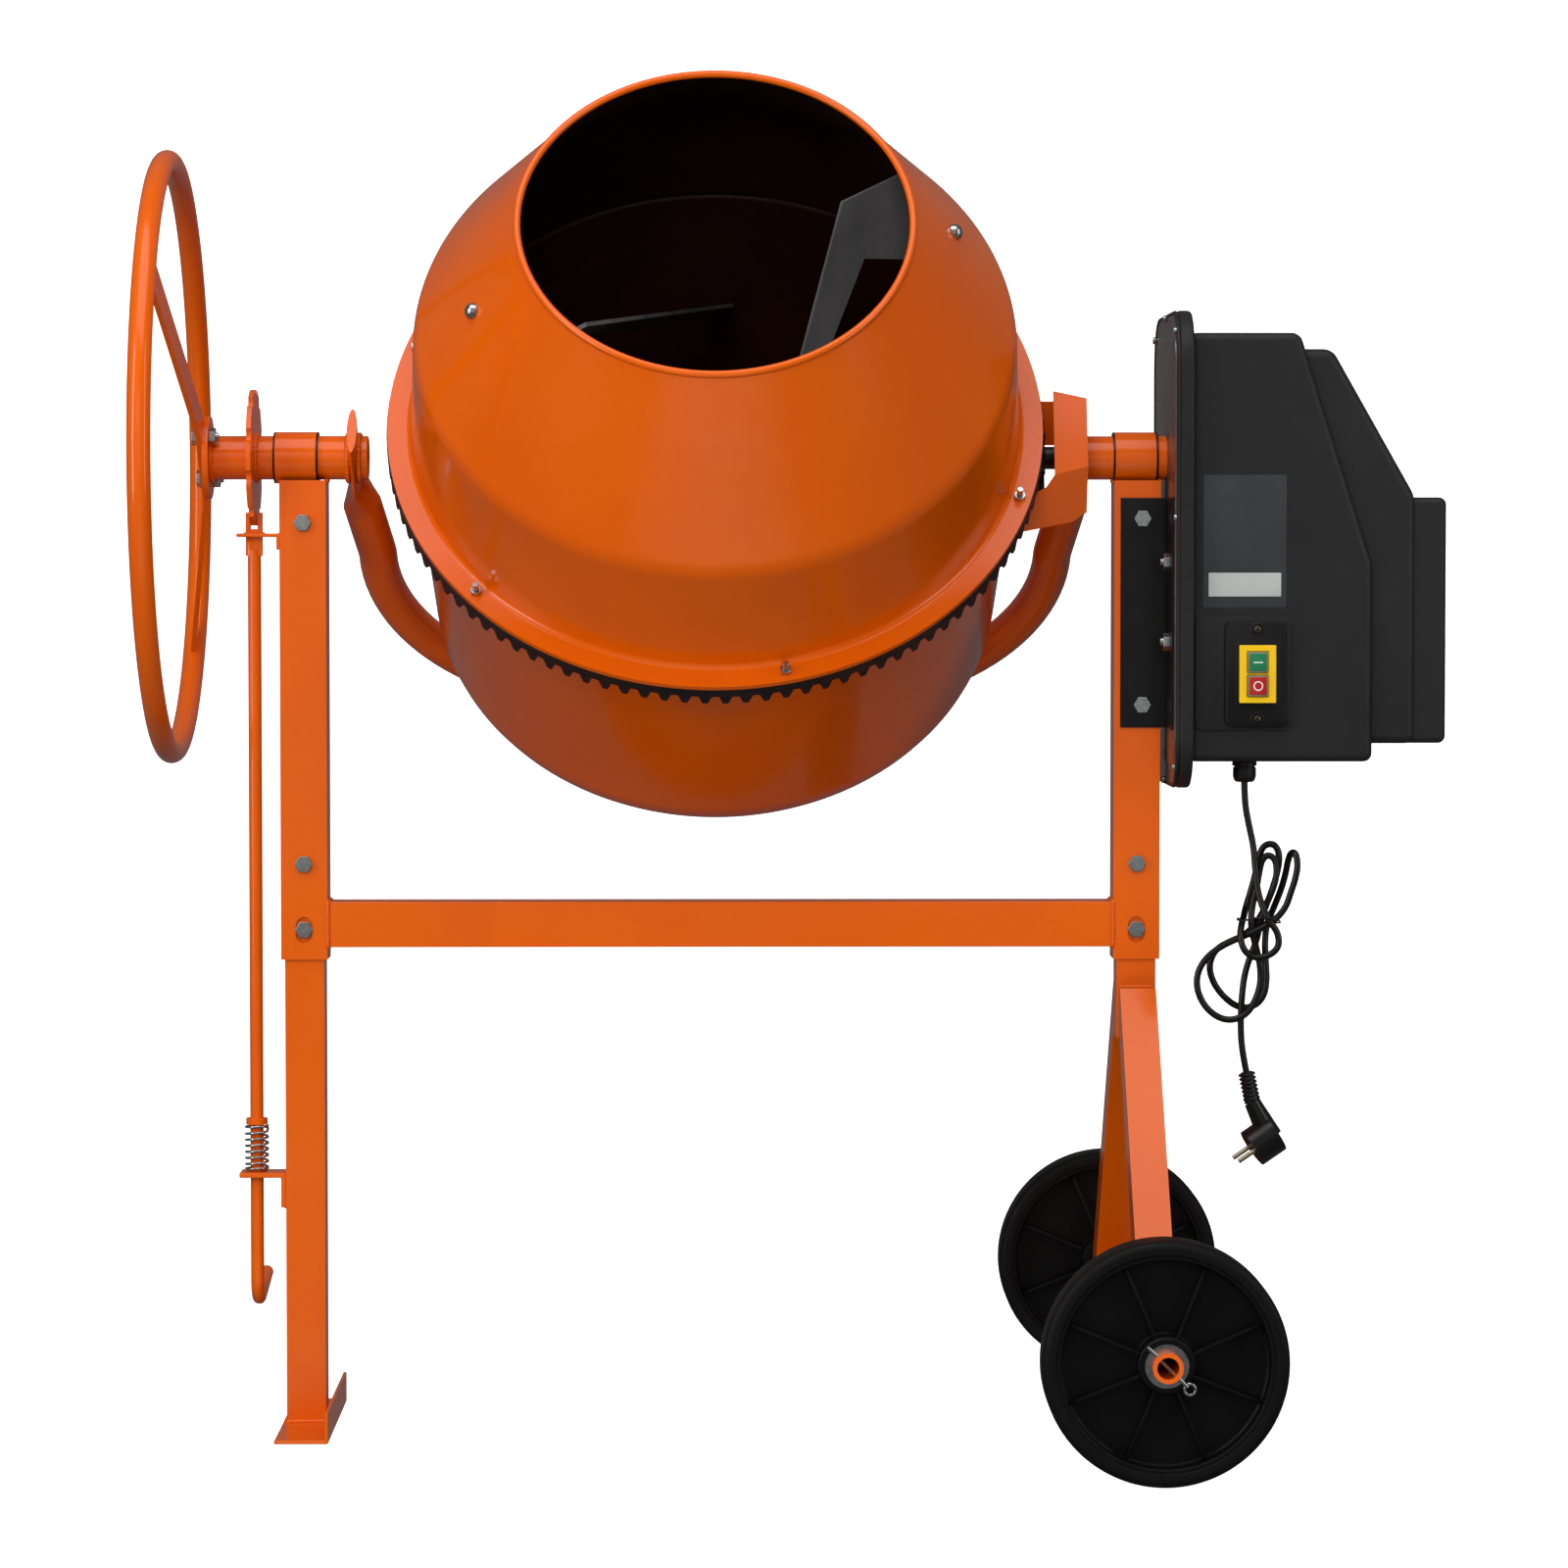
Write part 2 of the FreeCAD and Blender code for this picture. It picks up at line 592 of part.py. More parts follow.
flange_holes = []
stud_sockets = []
flange_bolts = []
stud_foot = flange_reach - wall - size("stud_depth")
for index in range(int(size("flange_bolt_count"))):
    spot = Placement(Vector(), Rotation(Z_DIR, size("flange_bolt_phase")
                                        + 360 / size("flange_bolt_count") * index))
    foot = on_drum().multiply(spot).multiply(
        Placement(Vector(size("flange_bolt_circle"), 0, stud_foot), Rotation()))
    seat = foot.multiply(Placement(Vector(0, 0, size("stud_depth") + 2 * wall), Rotation()))
    flange_holes.append(rod("flange_bolt_diameter / 2 + hole_play", "60", foot))
    stud_sockets.append(rod("flange_bolt_diameter / 2", "60", foot))
    flange_bolts.append(rod("flange_bolt_diameter / 2", "stud_depth + 2 * shell_wall + flange_bolt_nut + flange_bolt_extra", foot))
    flange_bolts.append(cut(hexagon("flange_bolt_flats", "flange_bolt_nut", seat),
                            rod("flange_bolt_diameter / 2", "flange_bolt_nut", seat)))
keep(group(*flange_bolts), "flange_bolts")

blade_bolt_reach = size("blade_bolt_reach")
blade_bolt_angles = (size("blade_bolt_angle"), size("blade_bolt_angle") + 180)
cone_slope = math.atan2(size("shoulder_radius") - size("mouth_radius") - wall / 2,
                        size("mouth_reach") - size("shoulder_reach"))
blade_bolt_radius = (size("shoulder_radius")
                     - (blade_bolt_reach - size("shoulder_reach")) * math.tan(cone_slope))
blade_stack = size("blade_sheet") + 2.6    # sheet, and the gap behind it where the cone curves away
blade_bolts = []
blade_holes = []
for angle in blade_bolt_angles:
    spot = Placement(Vector(), Rotation(Z_DIR, angle))
    outward = Rotation(Y_DIR, 90 - math.degrees(cone_slope))
    seat = on_drum().multiply(spot).multiply(
        Placement(Vector(blade_bolt_radius, 0, blade_bolt_reach), outward))
    blade_holes.append(rod("bolt_diameter / 2 + hole_play", "30",
                           seat.multiply(Placement(Vector(0, 0, -15), Rotation()))))
    dome = doc.addObject("Part::Sphere", "Dome")
    bind(dome, Radius="bolt_diameter")
    dome.Placement = seat
    doc.recompute()
    cap = doc.addObject("Part::Common", "Cap")
    cap.Base = dome
    cap.Tool = block("40", "40", "20", seat)
    shank = rod("bolt_diameter / 2", "22", seat.multiply(Placement(Vector(0, 0, -20), Rotation())))
    blade_bolts.append(fuse(cap, shank))
    nut_place = seat.multiply(Placement(Vector(0, 0, -wall - blade_stack - size("nut_thickness")), Rotation()))
    blade_bolts.append(cut(hexagon("bolt_flats", "nut_thickness", nut_place),
                           rod("bolt_diameter / 2", "nut_thickness", nut_place)))
keep(group(*blade_bolts), "blade_bolts")

keep(cut(fuse(cone, bead), *flange_holes, *blade_holes), "drum_cone")
keep(cut(barrel, *flange_holes), "drum_barrel")

# spindle plate and spindle under the base
spindle_plate_top = -size("base_reach")
spindle = fuse(rod("spindle_plate_radius", "spindle_plate",
                   on_drum(reach=spindle_plate_top - size("spindle_plate"))),
               rod("spindle_diameter / 2", "spindle_end_reach - base_reach + shell_wall",
                   on_drum(reach=-size("spindle_end_reach"))))
keep(spindle, "drum_spindle")

# two bent mixing blades: a paddle crosses the drum from the cone to the far side of the barrel,
# and a tab on the cone takes its bolt; each is the other one turned half way round
blade_sheet = size("blade_sheet")
paddle_corner = Vector(119, 73, 290)
arm_way = Vector(43, 27, 0).normalize()
leg_way = Vector(-57, -147, -162).normalize()
paddle_outline = [(0, 0), (0, 76), (60, 108), (118, 148), (74, 47), (144, 35), (563, 30), (541, 0)]
paddle_normal = arm_way.cross(leg_way).normalize()


def on_paddle(along_leg, along_arm):
    return paddle_corner + leg_way * along_leg + arm_way * along_arm


def cone_inside(reach):
    """Inner radius of the cone at this reach."""
    return (size("shoulder_radius") - (reach - size("shoulder_reach")) * math.tan(cone_slope)
            - wall / math.cos(cone_slope))


tab_angle = blade_bolt_angles[0] + size("blade_tab_turn")
tab_half = size("blade_tab_half")
tab_corners = []
for reach in (300, 245):
    chord = math.sqrt(cone_inside(reach) ** 2 - tab_half ** 2) - 0.4
    tab_corners += [Vector(chord, side * tab_half, reach) for side in ((-1, 1) if reach == 300 else (1, -1))]
slope_inward = Vector(-math.cos(cone_slope), 0, -math.sin(cone_slope))
tab = polygon(tab_corners, slope_inward * blade_sheet)
tab.rotate(Vector(), Z_DIR, tab_angle)
paddle = polygon([on_paddle(*spot) for spot in paddle_outline], paddle_normal * blade_sheet)
inside_space = Part.makeCone(cone_inside(size("shoulder_reach")) - 0.5, cone_inside(size("mouth_reach")) - 0.5,
                             size("mouth_reach") - size("shoulder_reach"), Vector(0, 0, size("shoulder_reach")))
inside_space = inside_space.fuse(Part.makeCylinder(size("barrel_radius") + 2, size("shoulder_reach") + 200,
                                                   Vector(0, 0, -200)))
hole_place = Placement(Vector(), Rotation(Z_DIR, blade_bolt_angles[0])).multiply(
    Placement(Vector(blade_bolt_radius, 0, blade_bolt_reach), Rotation(Y_DIR, 90 - math.degrees(cone_slope))))
hole = Part.makeCylinder(size("bolt_diameter") / 2 + size("hole_play"), 60)
hole.Placement = hole_place.multiply(Placement(Vector(0, 0, -30), Rotation()))
blade_shape = tab.fuse(paddle).common(inside_space).cut(hole).removeSplitter()
blades = []
for half_turn in (0, 180):
    blades.append(feature(blade_shape.copy(), on_drum(turn=Rotation(Z_DIR, half_turn))))
keep(group(*blades), "mixing_blades")

# ---------------------------------------------------------------- crown gear and pinion
tip_reach = flange_reach - wall - size("gear_body") - size("tooth_height")
root_reach = flange_reach - wall - size("gear_body")
ring = Part.makeCylinder(size("gear_outer"), size("gear_body") + size("tooth_height"), Vector(0, 0, tip_reach))
ring = ring.cut(Part.makeCylinder(size("gear_inner"), 60, Vector(0, 0, tip_reach - 10)))
half_root = size("slot_root_width") / 2
half_tip = size("slot_tip_width") / 2
slot_shape = polygon([Vector(size("gear_inner") - 8, -half_tip, tip_reach - 0.01),
                      Vector(size("gear_inner") - 8, half_tip, tip_reach - 0.01),
                      Vector(size("gear_inner") - 8, half_root, root_reach),
                      Vector(size("gear_inner") - 8, -half_root, root_reach)],
                     X_DIR * (size("gear_outer") - size("gear_inner") + 16))
slots = []
for index in range(int(size("gear_teeth"))):
    copy = slot_shape.copy()
    copy.rotate(Vector(), Z_DIR, 360 / size("gear_teeth") * index)
    slots.append(copy)
ring = ring.cut(Part.makeCompound(slots))
gear_blank = feature(ring, on_drum())
keep(cut(gear_blank, *stud_sockets), "ring_gear")

tooth_step = 2 * math.pi / size("pinion_teeth")
pinion_points = []
for index in range(int(size("pinion_teeth"))):
    middle = math.pi / 2 + index * tooth_step
    for radius, thickness, side in ((size("pinion_root"), size("pinion_tooth_root"), -1),
                                    (size("pinion_tip"), size("pinion_tooth_tip"), -1),
                                    (size("pinion_tip"), size("pinion_tooth_tip"), 1),
                                    (size("pinion_root"), size("pinion_tooth_root"), 1)):
        spread_angle = side * math.asin(thickness / 2 / radius)
        pinion_points.append(Vector(0, radius * math.cos(middle + spread_angle),
                                    radius * math.sin(middle + spread_angle)))
pinion_solid = polygon(pinion_points, X_DIR * size("pinion_width"))
pinion_bore = Part.makeCylinder(size("shaft_diameter") / 2, size("pinion_width"), Vector(), X_DIR)
keep(feature(pinion_solid.cut(pinion_bore), on_drum(x=size("pinion_inner_x"))), "pinion")

# ---------------------------------------------------------------- yoke
flat_x = size("yoke_flat_x")
yoke_radius = size("yoke_tube") / 2
yoke_start = -72
yoke_shoulder = -size("yoke_shoulder")
path_points = [Vector(-flat_x + 4, 0, yoke_start), Vector(-size("yoke_half_width"), 0, yoke_shoulder),
               Vector(-size("yoke_half_width"), 0, -size("yoke_reach")),
               Vector(size("yoke_half_width"), 0, -size("yoke_reach")),
               Vector(size("yoke_half_width"), 0, yoke_shoulder), Vector(flat_x - 4, 0, yoke_start)]
yoke_path = rounded_path(path_points, [size("yoke_neck_bend"), size("yoke_bend"), size("yoke_bend"),
                                       size("yoke_neck_bend")])
yoke_bar = sweep(yoke_path, yoke_radius).cut(sweep(yoke_path, yoke_radius - size("yoke_wall")))


def flat_end(sense):
    """The arm's flattened end, which the trunnion passes through."""
    start = Vector(sense * (flat_x - 4), 0, yoke_start)
    direction = Vector(-sense * (flat_x - 4 - size("yoke_half_width")), 0, yoke_shoulder - yoke_start).normalize()
    round_wire = Part.Wire(Part.makeCircle(yoke_radius, start, direction))
    half_width = size("yoke_flat_width") / 2
    half_thick = size("yoke_flat_thickness") / 2
    flat_low = -30
    oval = Part.Ellipse(Vector(sense * flat_x, half_width, flat_low),
                        Vector(sense * flat_x + half_thick, 0, flat_low),
                        Vector(sense * flat_x, 0, flat_low)).toShape()
    neck = Part.makeLoft([round_wire, Part.Wire(oval)], True)
    plate = Part.Face(Part.Wire(oval)).extrude(Vector(0, 0, size("yoke_flat_top") - flat_low))
    hole = Part.makeCylinder(size("trunnion_outer") / 2, 60, Vector(sense * flat_x - 30, 0, 0), X_DIR)
    return neck.fuse(plate).cut(hole)


yoke_shape = yoke_bar.fuse([flat_end(-1), flat_end(1)]).removeSplitter()
keep(feature(yoke_shape, on_drum()), "yoke_tube")

for label, inner_x, outer_x, sense in (
        ("left_trunnion", "left_trunnion_inner_x", "left_trunnion_outer_x", -1),
        ("right_trunnion", "right_trunnion_inner_x", "right_trunnion_outer_x", 1)):
    start = sense * size(inner_x)
    turn = FACING_RIGHT if sense > 0 else FACING_LEFT
    keep(tube("trunnion_outer / 2", "trunnion_outer / 2 - trunnion_wall", f"{outer_x} - {inner_x}",
              at(start, 0, tilt_height, turn)), label)

hub_top = -size("base_reach") - size("spindle_plate") - size("hub_gap")
hub_length = hub_top + size("yoke_reach")
hub_ring = tube("hub_outer / 2", "spindle_diameter / 2 + running_play", f"{hub_length}",
                on_drum(reach=-size("yoke_reach")))
tube_space = rod("yoke_tube / 2", "hub_outer + 40",
                 on_drum(x=-size("hub_outer") / 2 - 20, reach=-size("yoke_reach"), turn=FACING_RIGHT))
keep(cut(hub_ring, tube_space), "drum_hub")

# bent sheet guard round the pinion; points are x, y and height above the tilt axis
sheet_thickness = size("guard_sheet")
guard_right = flat_x + size("yoke_flat_thickness") / 2 + sheet_thickness
bend_left = Vector(326, -58, -17)
bend_right = Vector(guard_right, -58, -9)


def facet(points):
    """Sheet facet: the first three points set its plane, the others slide along y onto it."""
    first, second, third = points[:3]
    normal = (second - first).cross(third - first)
    placed = []
    for point in points:
        gap = normal.dot(point - first) / normal.y
        placed.append(point - Y_DIR * gap)
    return polygon(placed, Y_DIR * sheet_thickness)


upper = facet([bend_left, bend_right, Vector(guard_right, -34, 57), Vector(326, -34, 64)])
lower = facet([bend_left, bend_right, Vector(guard_right, -40, -52), Vector(345, -36, -62),
               Vector(296, -32, -72), Vector(303, -47, -37), Vector(318, -52, -29)])
side_plate = polygon([Vector(guard_right, -57, -10), Vector(guard_right, -34, 56), Vector(guard_right, 34, 56),
                      Vector(guard_right, 46, 14), Vector(guard_right, 20, -40),
                      Vector(guard_right, -39, -54)], X_DIR * -sheet_thickness)
side_plate = side_plate.cut(Part.makeCylinder(size("trunnion_outer") / 2, 40, Vector(330, 0, 0), X_DIR))
rear = polygon([Vector(318, 34, 56), Vector(guard_right, 34, 56), Vector(guard_right, 46, 14),
                Vector(318, 46, 14)], Vector(0, -sheet_thickness, -sheet_thickness * 0.3))
yoke_at_rest = yoke_shape.copy()
yoke_at_rest.rotate(Vector(), X_DIR, drum_lean)
guard_shape = upper.fuse([lower, side_plate, rear]).cut(yoke_at_rest).removeSplitter()
keep(feature(guard_shape, at(0, 0, tilt_height)), "pinion_guard")

# locking disc with notches
disc = ring_body("DiscBody", "2 * disc_radius", "trunnion_outer", "disc_thickness",
                 at(-size("disc_x") - size("disc_thickness") / 2, 0, tilt_height, FACING_RIGHT))
notches = []
for index in range(int(size("disc_notches"))):
    angle = 2 * math.pi / size("disc_notches") * index - math.pi / 2
    notches.append(rod("disc_notch_radius", "disc_thickness + 10",
                       at(-size("disc_x") - size("disc_thickness") / 2 - 5,
                          (size("disc_radius") + 1) * math.cos(angle),
                          tilt_height + (size("disc_radius") + 1) * math.sin(angle), FACING_RIGHT)))
keep(cut(disc, *notches), "locking_disc")

# ---------------------------------------------------------------- handwheel
wheel_x = -size("handwheel_x")
rim = doc.addObject("Part::Torus", "Rim")
bind(rim, Radius1="handwheel_radius", Radius2="handwheel_tube / 2")
rim.Placement = at(wheel_x, 0, tilt_height, FACING_RIGHT)
rim_hollow = doc.addObject("Part::Torus", "RimHollow")
bind(rim_hollow, Radius1="handwheel_radius", Radius2="handwheel_tube / 2 - handwheel_wall")
rim_hollow.Placement = rim.Placement
keep(cut(rim, rim_hollow), "handwheel_rim")

flange_x = -size("left_trunnion_outer_x")
hub_flange = tube("wheel_flange_radius", "bolt_diameter", "wheel_flange_thickness",
                  at(flange_x, 0, tilt_height, FACING_LEFT))
bar_x = flange_x - size("wheel_flange_thickness")
spoke_end = size("handwheel_radius") - size("handwheel_tube") / 2
spoke_thick = size("spoke_thickness")
half_spoke = size("spoke_width") / 2
hub_bar_half = size("hub_bar_half")
side_line = [Vector(0, 0, 0), Vector(0, 0, hub_bar_half), Vector(wheel_x - bar_x + 6, 0, spoke_end - 24),
             Vector(wheel_x - bar_x + 2.5, 0, spoke_end + 3)]
back_line = [point - X_DIR * spoke_thick for point in side_line]
half_bar = polygon([point + Y_DIR * -half_spoke for point in side_line]
                   + [point + Y_DIR * -half_spoke for point in reversed(back_line)],
                   Y_DIR * size("spoke_width"))
other_bar = half_bar.copy()
other_bar.rotate(Vector(), X_DIR, 180)
rim_space = Part.makeTorus(size("handwheel_radius"), size("handwheel_tube") / 2,
                           Vector(wheel_x - bar_x, 0, 0), X_DIR)
spoke_shape = half_bar.fuse(other_bar).removeSplitter()
bar_bolt_spots = [Vector(0, 0, sense * size("wheel_bolt_offset")) for sense in (-1, 1)]
for spot in bar_bolt_spots:
    spoke_shape = spoke_shape.cut(Part.makeCylinder(size("bolt_diameter") / 2 + size("hole_play"), 20,
                                                    spot - X_DIR * 10, X_DIR))
spoke_shape = spoke_shape.cut(rim_space)
spoke_turn = Rotation(X_DIR, 90 - size("spoke_angle"))
keep(feature(spoke_shape, at(bar_x, 0, tilt_height, spoke_turn)), "handwheel_spokes")
wheel_bolts = []
wheel_bolt_holes = []
for spot in bar_bolt_spots:
    turned = spoke_turn.multVec(spot)
    seat = at(bar_x - spoke_thick, turned.y, tilt_height + turned.z, FACING_RIGHT)
    wheel_bolts += bolt(seat, spoke_thick + size("wheel_flange_thickness"))
    wheel_bolt_holes.append(rod("bolt_diameter / 2 + hole_play", "40",
                                seat.multiply(Placement(Vector(0, 0, -5), Rotation()))))
keep(cut(hub_flange, *wheel_bolt_holes), "handwheel_flange")
keep(group(*wheel_bolts), "handwheel_bolts")

# ---------------------------------------------------------------- latch rod, spring and brackets
rod_x = -size("rod_x")
rod_radius = size("rod_diameter") / 2
rod_points = [Vector(0, 0, size("latch_bottom") + 6), Vector(0, 0, size("rod_bottom")),
              Vector(0, size("pedal_length"), size("rod_bottom") + 18)]
rod_shape = sweep(rounded_path(rod_points, [size("pedal_bend")]), rod_radius)
latch_half = size("latch_width") / 2
latch_height = size("latch_top") - size("latch_bottom")
latch = Part.makeBox(size("latch_width"), size("latch_depth"), latch_height,
                     Vector(-latch_half, -size("latch_depth") / 2, size("latch_bottom")))
slot_space = Part.makeBox(size("latch_slot"), size("latch_depth") + 2, latch_height,
                          Vector(-size("latch_slot") / 2, -size("latch_depth") / 2 - 1,
                                 size("latch_slot_bottom")))
latch_pin = Part.makeCylinder(size("latch_pin") / 2, size("latch_width") + 5,
                              Vector(-latch_half - 2.5, 0, size("latch_pin_height")), X_DIR)
stop_height = size("spring_seat_height") + size("spring_length")
spring_stop = Part.makeCylinder(rod_radius + 4, size("spring_stop"), Vector(0, 0, stop_height), Z_DIR)
pedal_shape = rod_shape.fuse([latch.cut(slot_space), latch_pin, spring_stop]).removeSplitter()
keep(feature(pedal_shape, at(rod_x, 0, 0)), "latch_rod")

coil_radius = (size("spring_outer") - size("spring_wire")) / 2
coil_height = size("spring_length") - size("spring_wire") - 0.4
helix = Part.makeHelix(coil_height / size("spring_turns"), coil_height, coil_radius)
coil_start = Part.Wire(Part.makeCircle(size("spring_wire") / 2, Vector(coil_radius, 0, 0), Y_DIR))
coil = Part.Wire(helix.Edges).makePipeShell([coil_start], True, True)
keep(feature(coil, at(rod_x, 0, size("spring_seat_height") + size("spring_wire") / 2 + 0.2)), "pedal_spring")

guide_left = rod_x - size("guide_reach")
guide_right = left_post_x - post_half
guide = block(f"{guide_right - guide_left}", "guide_width", "guide_thickness",
              at((guide_left + guide_right) / 2, 0, size("guide_height") - size("guide_thickness") / 2))
guide_hole = block("latch_width + 6", "latch_depth + 2 * rod_play", "40",
                   at(rod_x, 0, size("guide_height") - 20))
# a foot below the plate carries the weld to the post
guide_web = block("guide_thickness", "guide_width", "14",
                  at(guide_right - size("guide_thickness") / 2, 0, size("guide_height") - 14))
keep(cut(fuse(guide, guide_web), guide_hole), "latch_guide")

seat_right = left_post_x - leg_half
seat_left = rod_x - size("guide_reach")
seat_plate = block(f"{seat_right - seat_left}", "guide_width", "spring_seat_thickness",
                   at((seat_left + seat_right) / 2, 0, size("spring_seat_height") - size("spring_seat_thickness")))
seat_flange = block("spring_seat_thickness", "guide_width", "bracket_drop",
                    at(seat_right - size("spring_seat_thickness") / 2, 0,
                       size("spring_seat_height") - size("bracket_drop")))
seat_hole = rod("rod_diameter / 2 + rod_play", "40", at(rod_x, 0, size("spring_seat_height") - 20))
keep(cut(fuse(seat_plate, seat_flange), seat_hole), "spring_bracket")

# ---------------------------------------------------------------- drive housing
plate_x = size("plate_x")
cover_middle = (size("cover_top") + size("cover_bottom")) / 2
cover_height = size("cover_top") - size("cover_bottom")
cover_start = plate_x + size("plate_thickness")
screw_spots = []
arc_y = size("cover_width") / 2 - size("cover_corner")
arc_z = cover_height / 2 - size("cover_corner")
arc_r = size("cover_corner") - size("cover_rim_width") / 2
for side in (-1, 1):
    for vertical in (-1, 1):
        screw_spots.append(Vector(0, side * (arc_y + arc_r * math.cos(math.radians(40))),
                                  vertical * (arc_z + arc_r * math.sin(math.radians(40)))))
    screw_spots.append(Vector(0, side * (size("cover_width") / 2 - size("cover_rim_width") / 2), 30))
    screw_spots.append(Vector(0, 0, side * (cover_height / 2 - size("cover_rim_width") / 2)))
screw_diameter = size("cotter_diameter")


def screw_holes(shape, play):
    for spot in screw_spots:
        shape = shape.cut(Part.makeCylinder(screw_diameter / 2 + play, 40, spot - X_DIR * 20, X_DIR))
    return shape


plate_shape = rounded_slab(size("cover_width"), cover_height, size("cover_corner"), size("plate_thickness"))
plate_shape = screw_holes(plate_shape, 0.1)
axis_drop = tilt_height - cover_middle
plate_shape = plate_shape.cut(Part.makeCylinder(size("trunnion_outer") / 2 + 2, 40,
                                                Vector(-20, 0, axis_drop), X_DIR))
bracket_joint_y = -80
joint_heights = (764, 840)
for z in joint_heights:
    plate_shape = plate_shape.cut(Part.makeCylinder(size("bolt_diameter") / 2 + size("hole_play"), 40,
                                                    Vector(-20, bracket_joint_y, z - cover_middle), X_DIR))
keep(feature(plate_shape, at(plate_x, 0, cover_middle)), "back_plate")


def side_prism(points, half_width, corner, inset):
    """Outline in x and z, as wide as the housing there, its long edges rounded."""
    heights = [z for x, z in points]
    low = min(heights) + inset
    high = max(heights) - inset
    start = points[0][0] - (10 if inset else 0)
    slab = rounded_slab(2 * (half_width - inset), high - low, max(corner - inset, 2), 400)
    slab.translate(Vector(start, 0, (low + high) / 2))
    outline = [Vector(x, -200, z) for x, z in points]
    profile = polygon(outline, Vector(0, 400, 0))
    if inset:
        flat = [Vector(x, z, 0) for x, z in points + [points[0]]]
        wire = Part.makePolygon(flat)
        smaller = wire.makeOffset2D(-inset, 2)
        profile = Part.Face(smaller).extrude(Vector(0, 0, 400))
        profile.rotate(Vector(), X_DIR, 90)
        profile.translate(Vector(0, 200, 0))
        mouth = Part.makeBox(20, 400, high - low, Vector(points[0][0] - 10, -200, low))
        profile = profile.fuse(mouth)
    return slab.common(profile)


def housing(inset):
    near = cover_start
    body = side_prism([(near, size("body_bottom")), (size("body_far_x"), size("body_bottom")),
                       (size("body_far_x"), size("body_knee_height")),
                       (size("body_near_x"), size("body_top")), (near, size("body_top"))],
                      size("body_half"), size("body_corner"), inset)
    back = side_prism([(near, size("bulge_bottom")), (size("back_far_x"), size("bulge_bottom")),
                       (size("back_far_x"), size("back_knee_height")),
                       (size("back_near_x"), size("back_top")), (near, size("back_top"))],
                      size("back_half"), size("body_corner"), inset)
    bulge = side_prism([(near, size("bulge_bottom")), (size("bulge_x"), size("bulge_bottom")),
                        (size("bulge_x"), size("back_knee_height")), (near, size("back_knee_height"))],
                       size("bulge_half"), size("bulge_corner"), inset)
    return body.fuse([back, bulge]).removeSplitter()


rim_slab = rounded_slab(size("cover_width"), cover_height, size("cover_corner"), size("cover_rim_depth"))
rim_slab = rim_slab.cut(rounded_slab(size("cover_width") - 2 * size("cover_rim_width"),
                                     cover_height - 2 * size("cover_rim_width"),
                                     size("cover_corner") - size("cover_rim_width"),
                                     size("cover_rim_depth") - size("cover_wall")))
rim_slab = screw_holes(rim_slab, 0)
rim_slab.translate(Vector(cover_start, 0, cover_middle))
cover_shape = rim_slab.fuse(housing(0)).cut(housing(size("cover_wall")))
inner_rim = rounded_slab(size("cover_width") - 2 * size("cover_rim_width"),
                         cover_height - 2 * size("cover_rim_width"),
                         size("cover_corner") - size("cover_rim_width"),
                         size("cover_rim_depth") - size("cover_wall"))
inner_rim.translate(Vector(cover_start, 0, cover_middle))
cover_shape = cover_shape.cut(inner_rim)
gland_hole = Part.makeCylinder(size("gland_outer") / 2 - 4, 30,
                               Vector(size("gland_x"), -size("gland_y"), size("body_bottom") - 10), Z_DIR)
cover_shape = cover_shape.cut(gland_hole)
keep(feature(cover_shape.removeSplitter(), at()), "drive_cover")

screws = []
for spot in screw_spots:
    seat = at(plate_x, spot.y, cover_middle + spot.z, FACING_RIGHT)
    head = rod("cotter_diameter", "cotter_diameter", seat.multiply(Placement(Vector(0, 0, -screw_diameter), Rotation())))
    shank = rod("cotter_diameter / 2", "plate_thickness + 9", seat)
    screws.append(fuse(head, shank))
for sense in (-1, 1):
    seat = at(size("switch_x"), -size("body_half") - size("switch_depth"),
              size("switch_z") + sense * size("switch_screw_offset"), FACING_BACK)
    screws.append(rod("switch_screw / 2", "2", seat.multiply(Placement(Vector(0, 0, -2), Rotation()))))
keep(group(*screws), "housing_screws")

# black angle bracket between post and housing
angle = new_body("AngleBody")
angle_sketch = sketch_in(angle, "XY_Plane")
angle_near = size("bracket_near_x")
thick = size("bracket_sheet")
angle_points = [Vector(angle_near, -post_half, 0), Vector(angle_near, -post_half - thick, 0),
                Vector(plate_x - thick, -post_half - thick, 0), Vector(plate_x - thick, -size("bracket_reach"), 0),
                Vector(plate_x, -size("bracket_reach"), 0), Vector(plate_x, -post_half, 0),
                Vector(angle_near, -post_half, 0)]
draw_edges(angle_sketch, [Part.LineSegment(first, second).toShape()
                          for first, second in zip(angle_points, angle_points[1:])])
pad(angle, angle_sketch, "bracket_top - bracket_bottom")
angle.Placement = at(0, 0, size("bracket_bottom"))
bracket_holes = [bolt_hole(bracket_bolt_x, z) for z in bracket_bolt_heights]
bracket_holes += [rod("bolt_diameter / 2 + hole_play", "40",
                      at(plate_x - 20, bracket_joint_y, z, FACING_RIGHT)) for z in joint_heights]
keep(cut(angle, *bracket_holes), "motor_bracket")

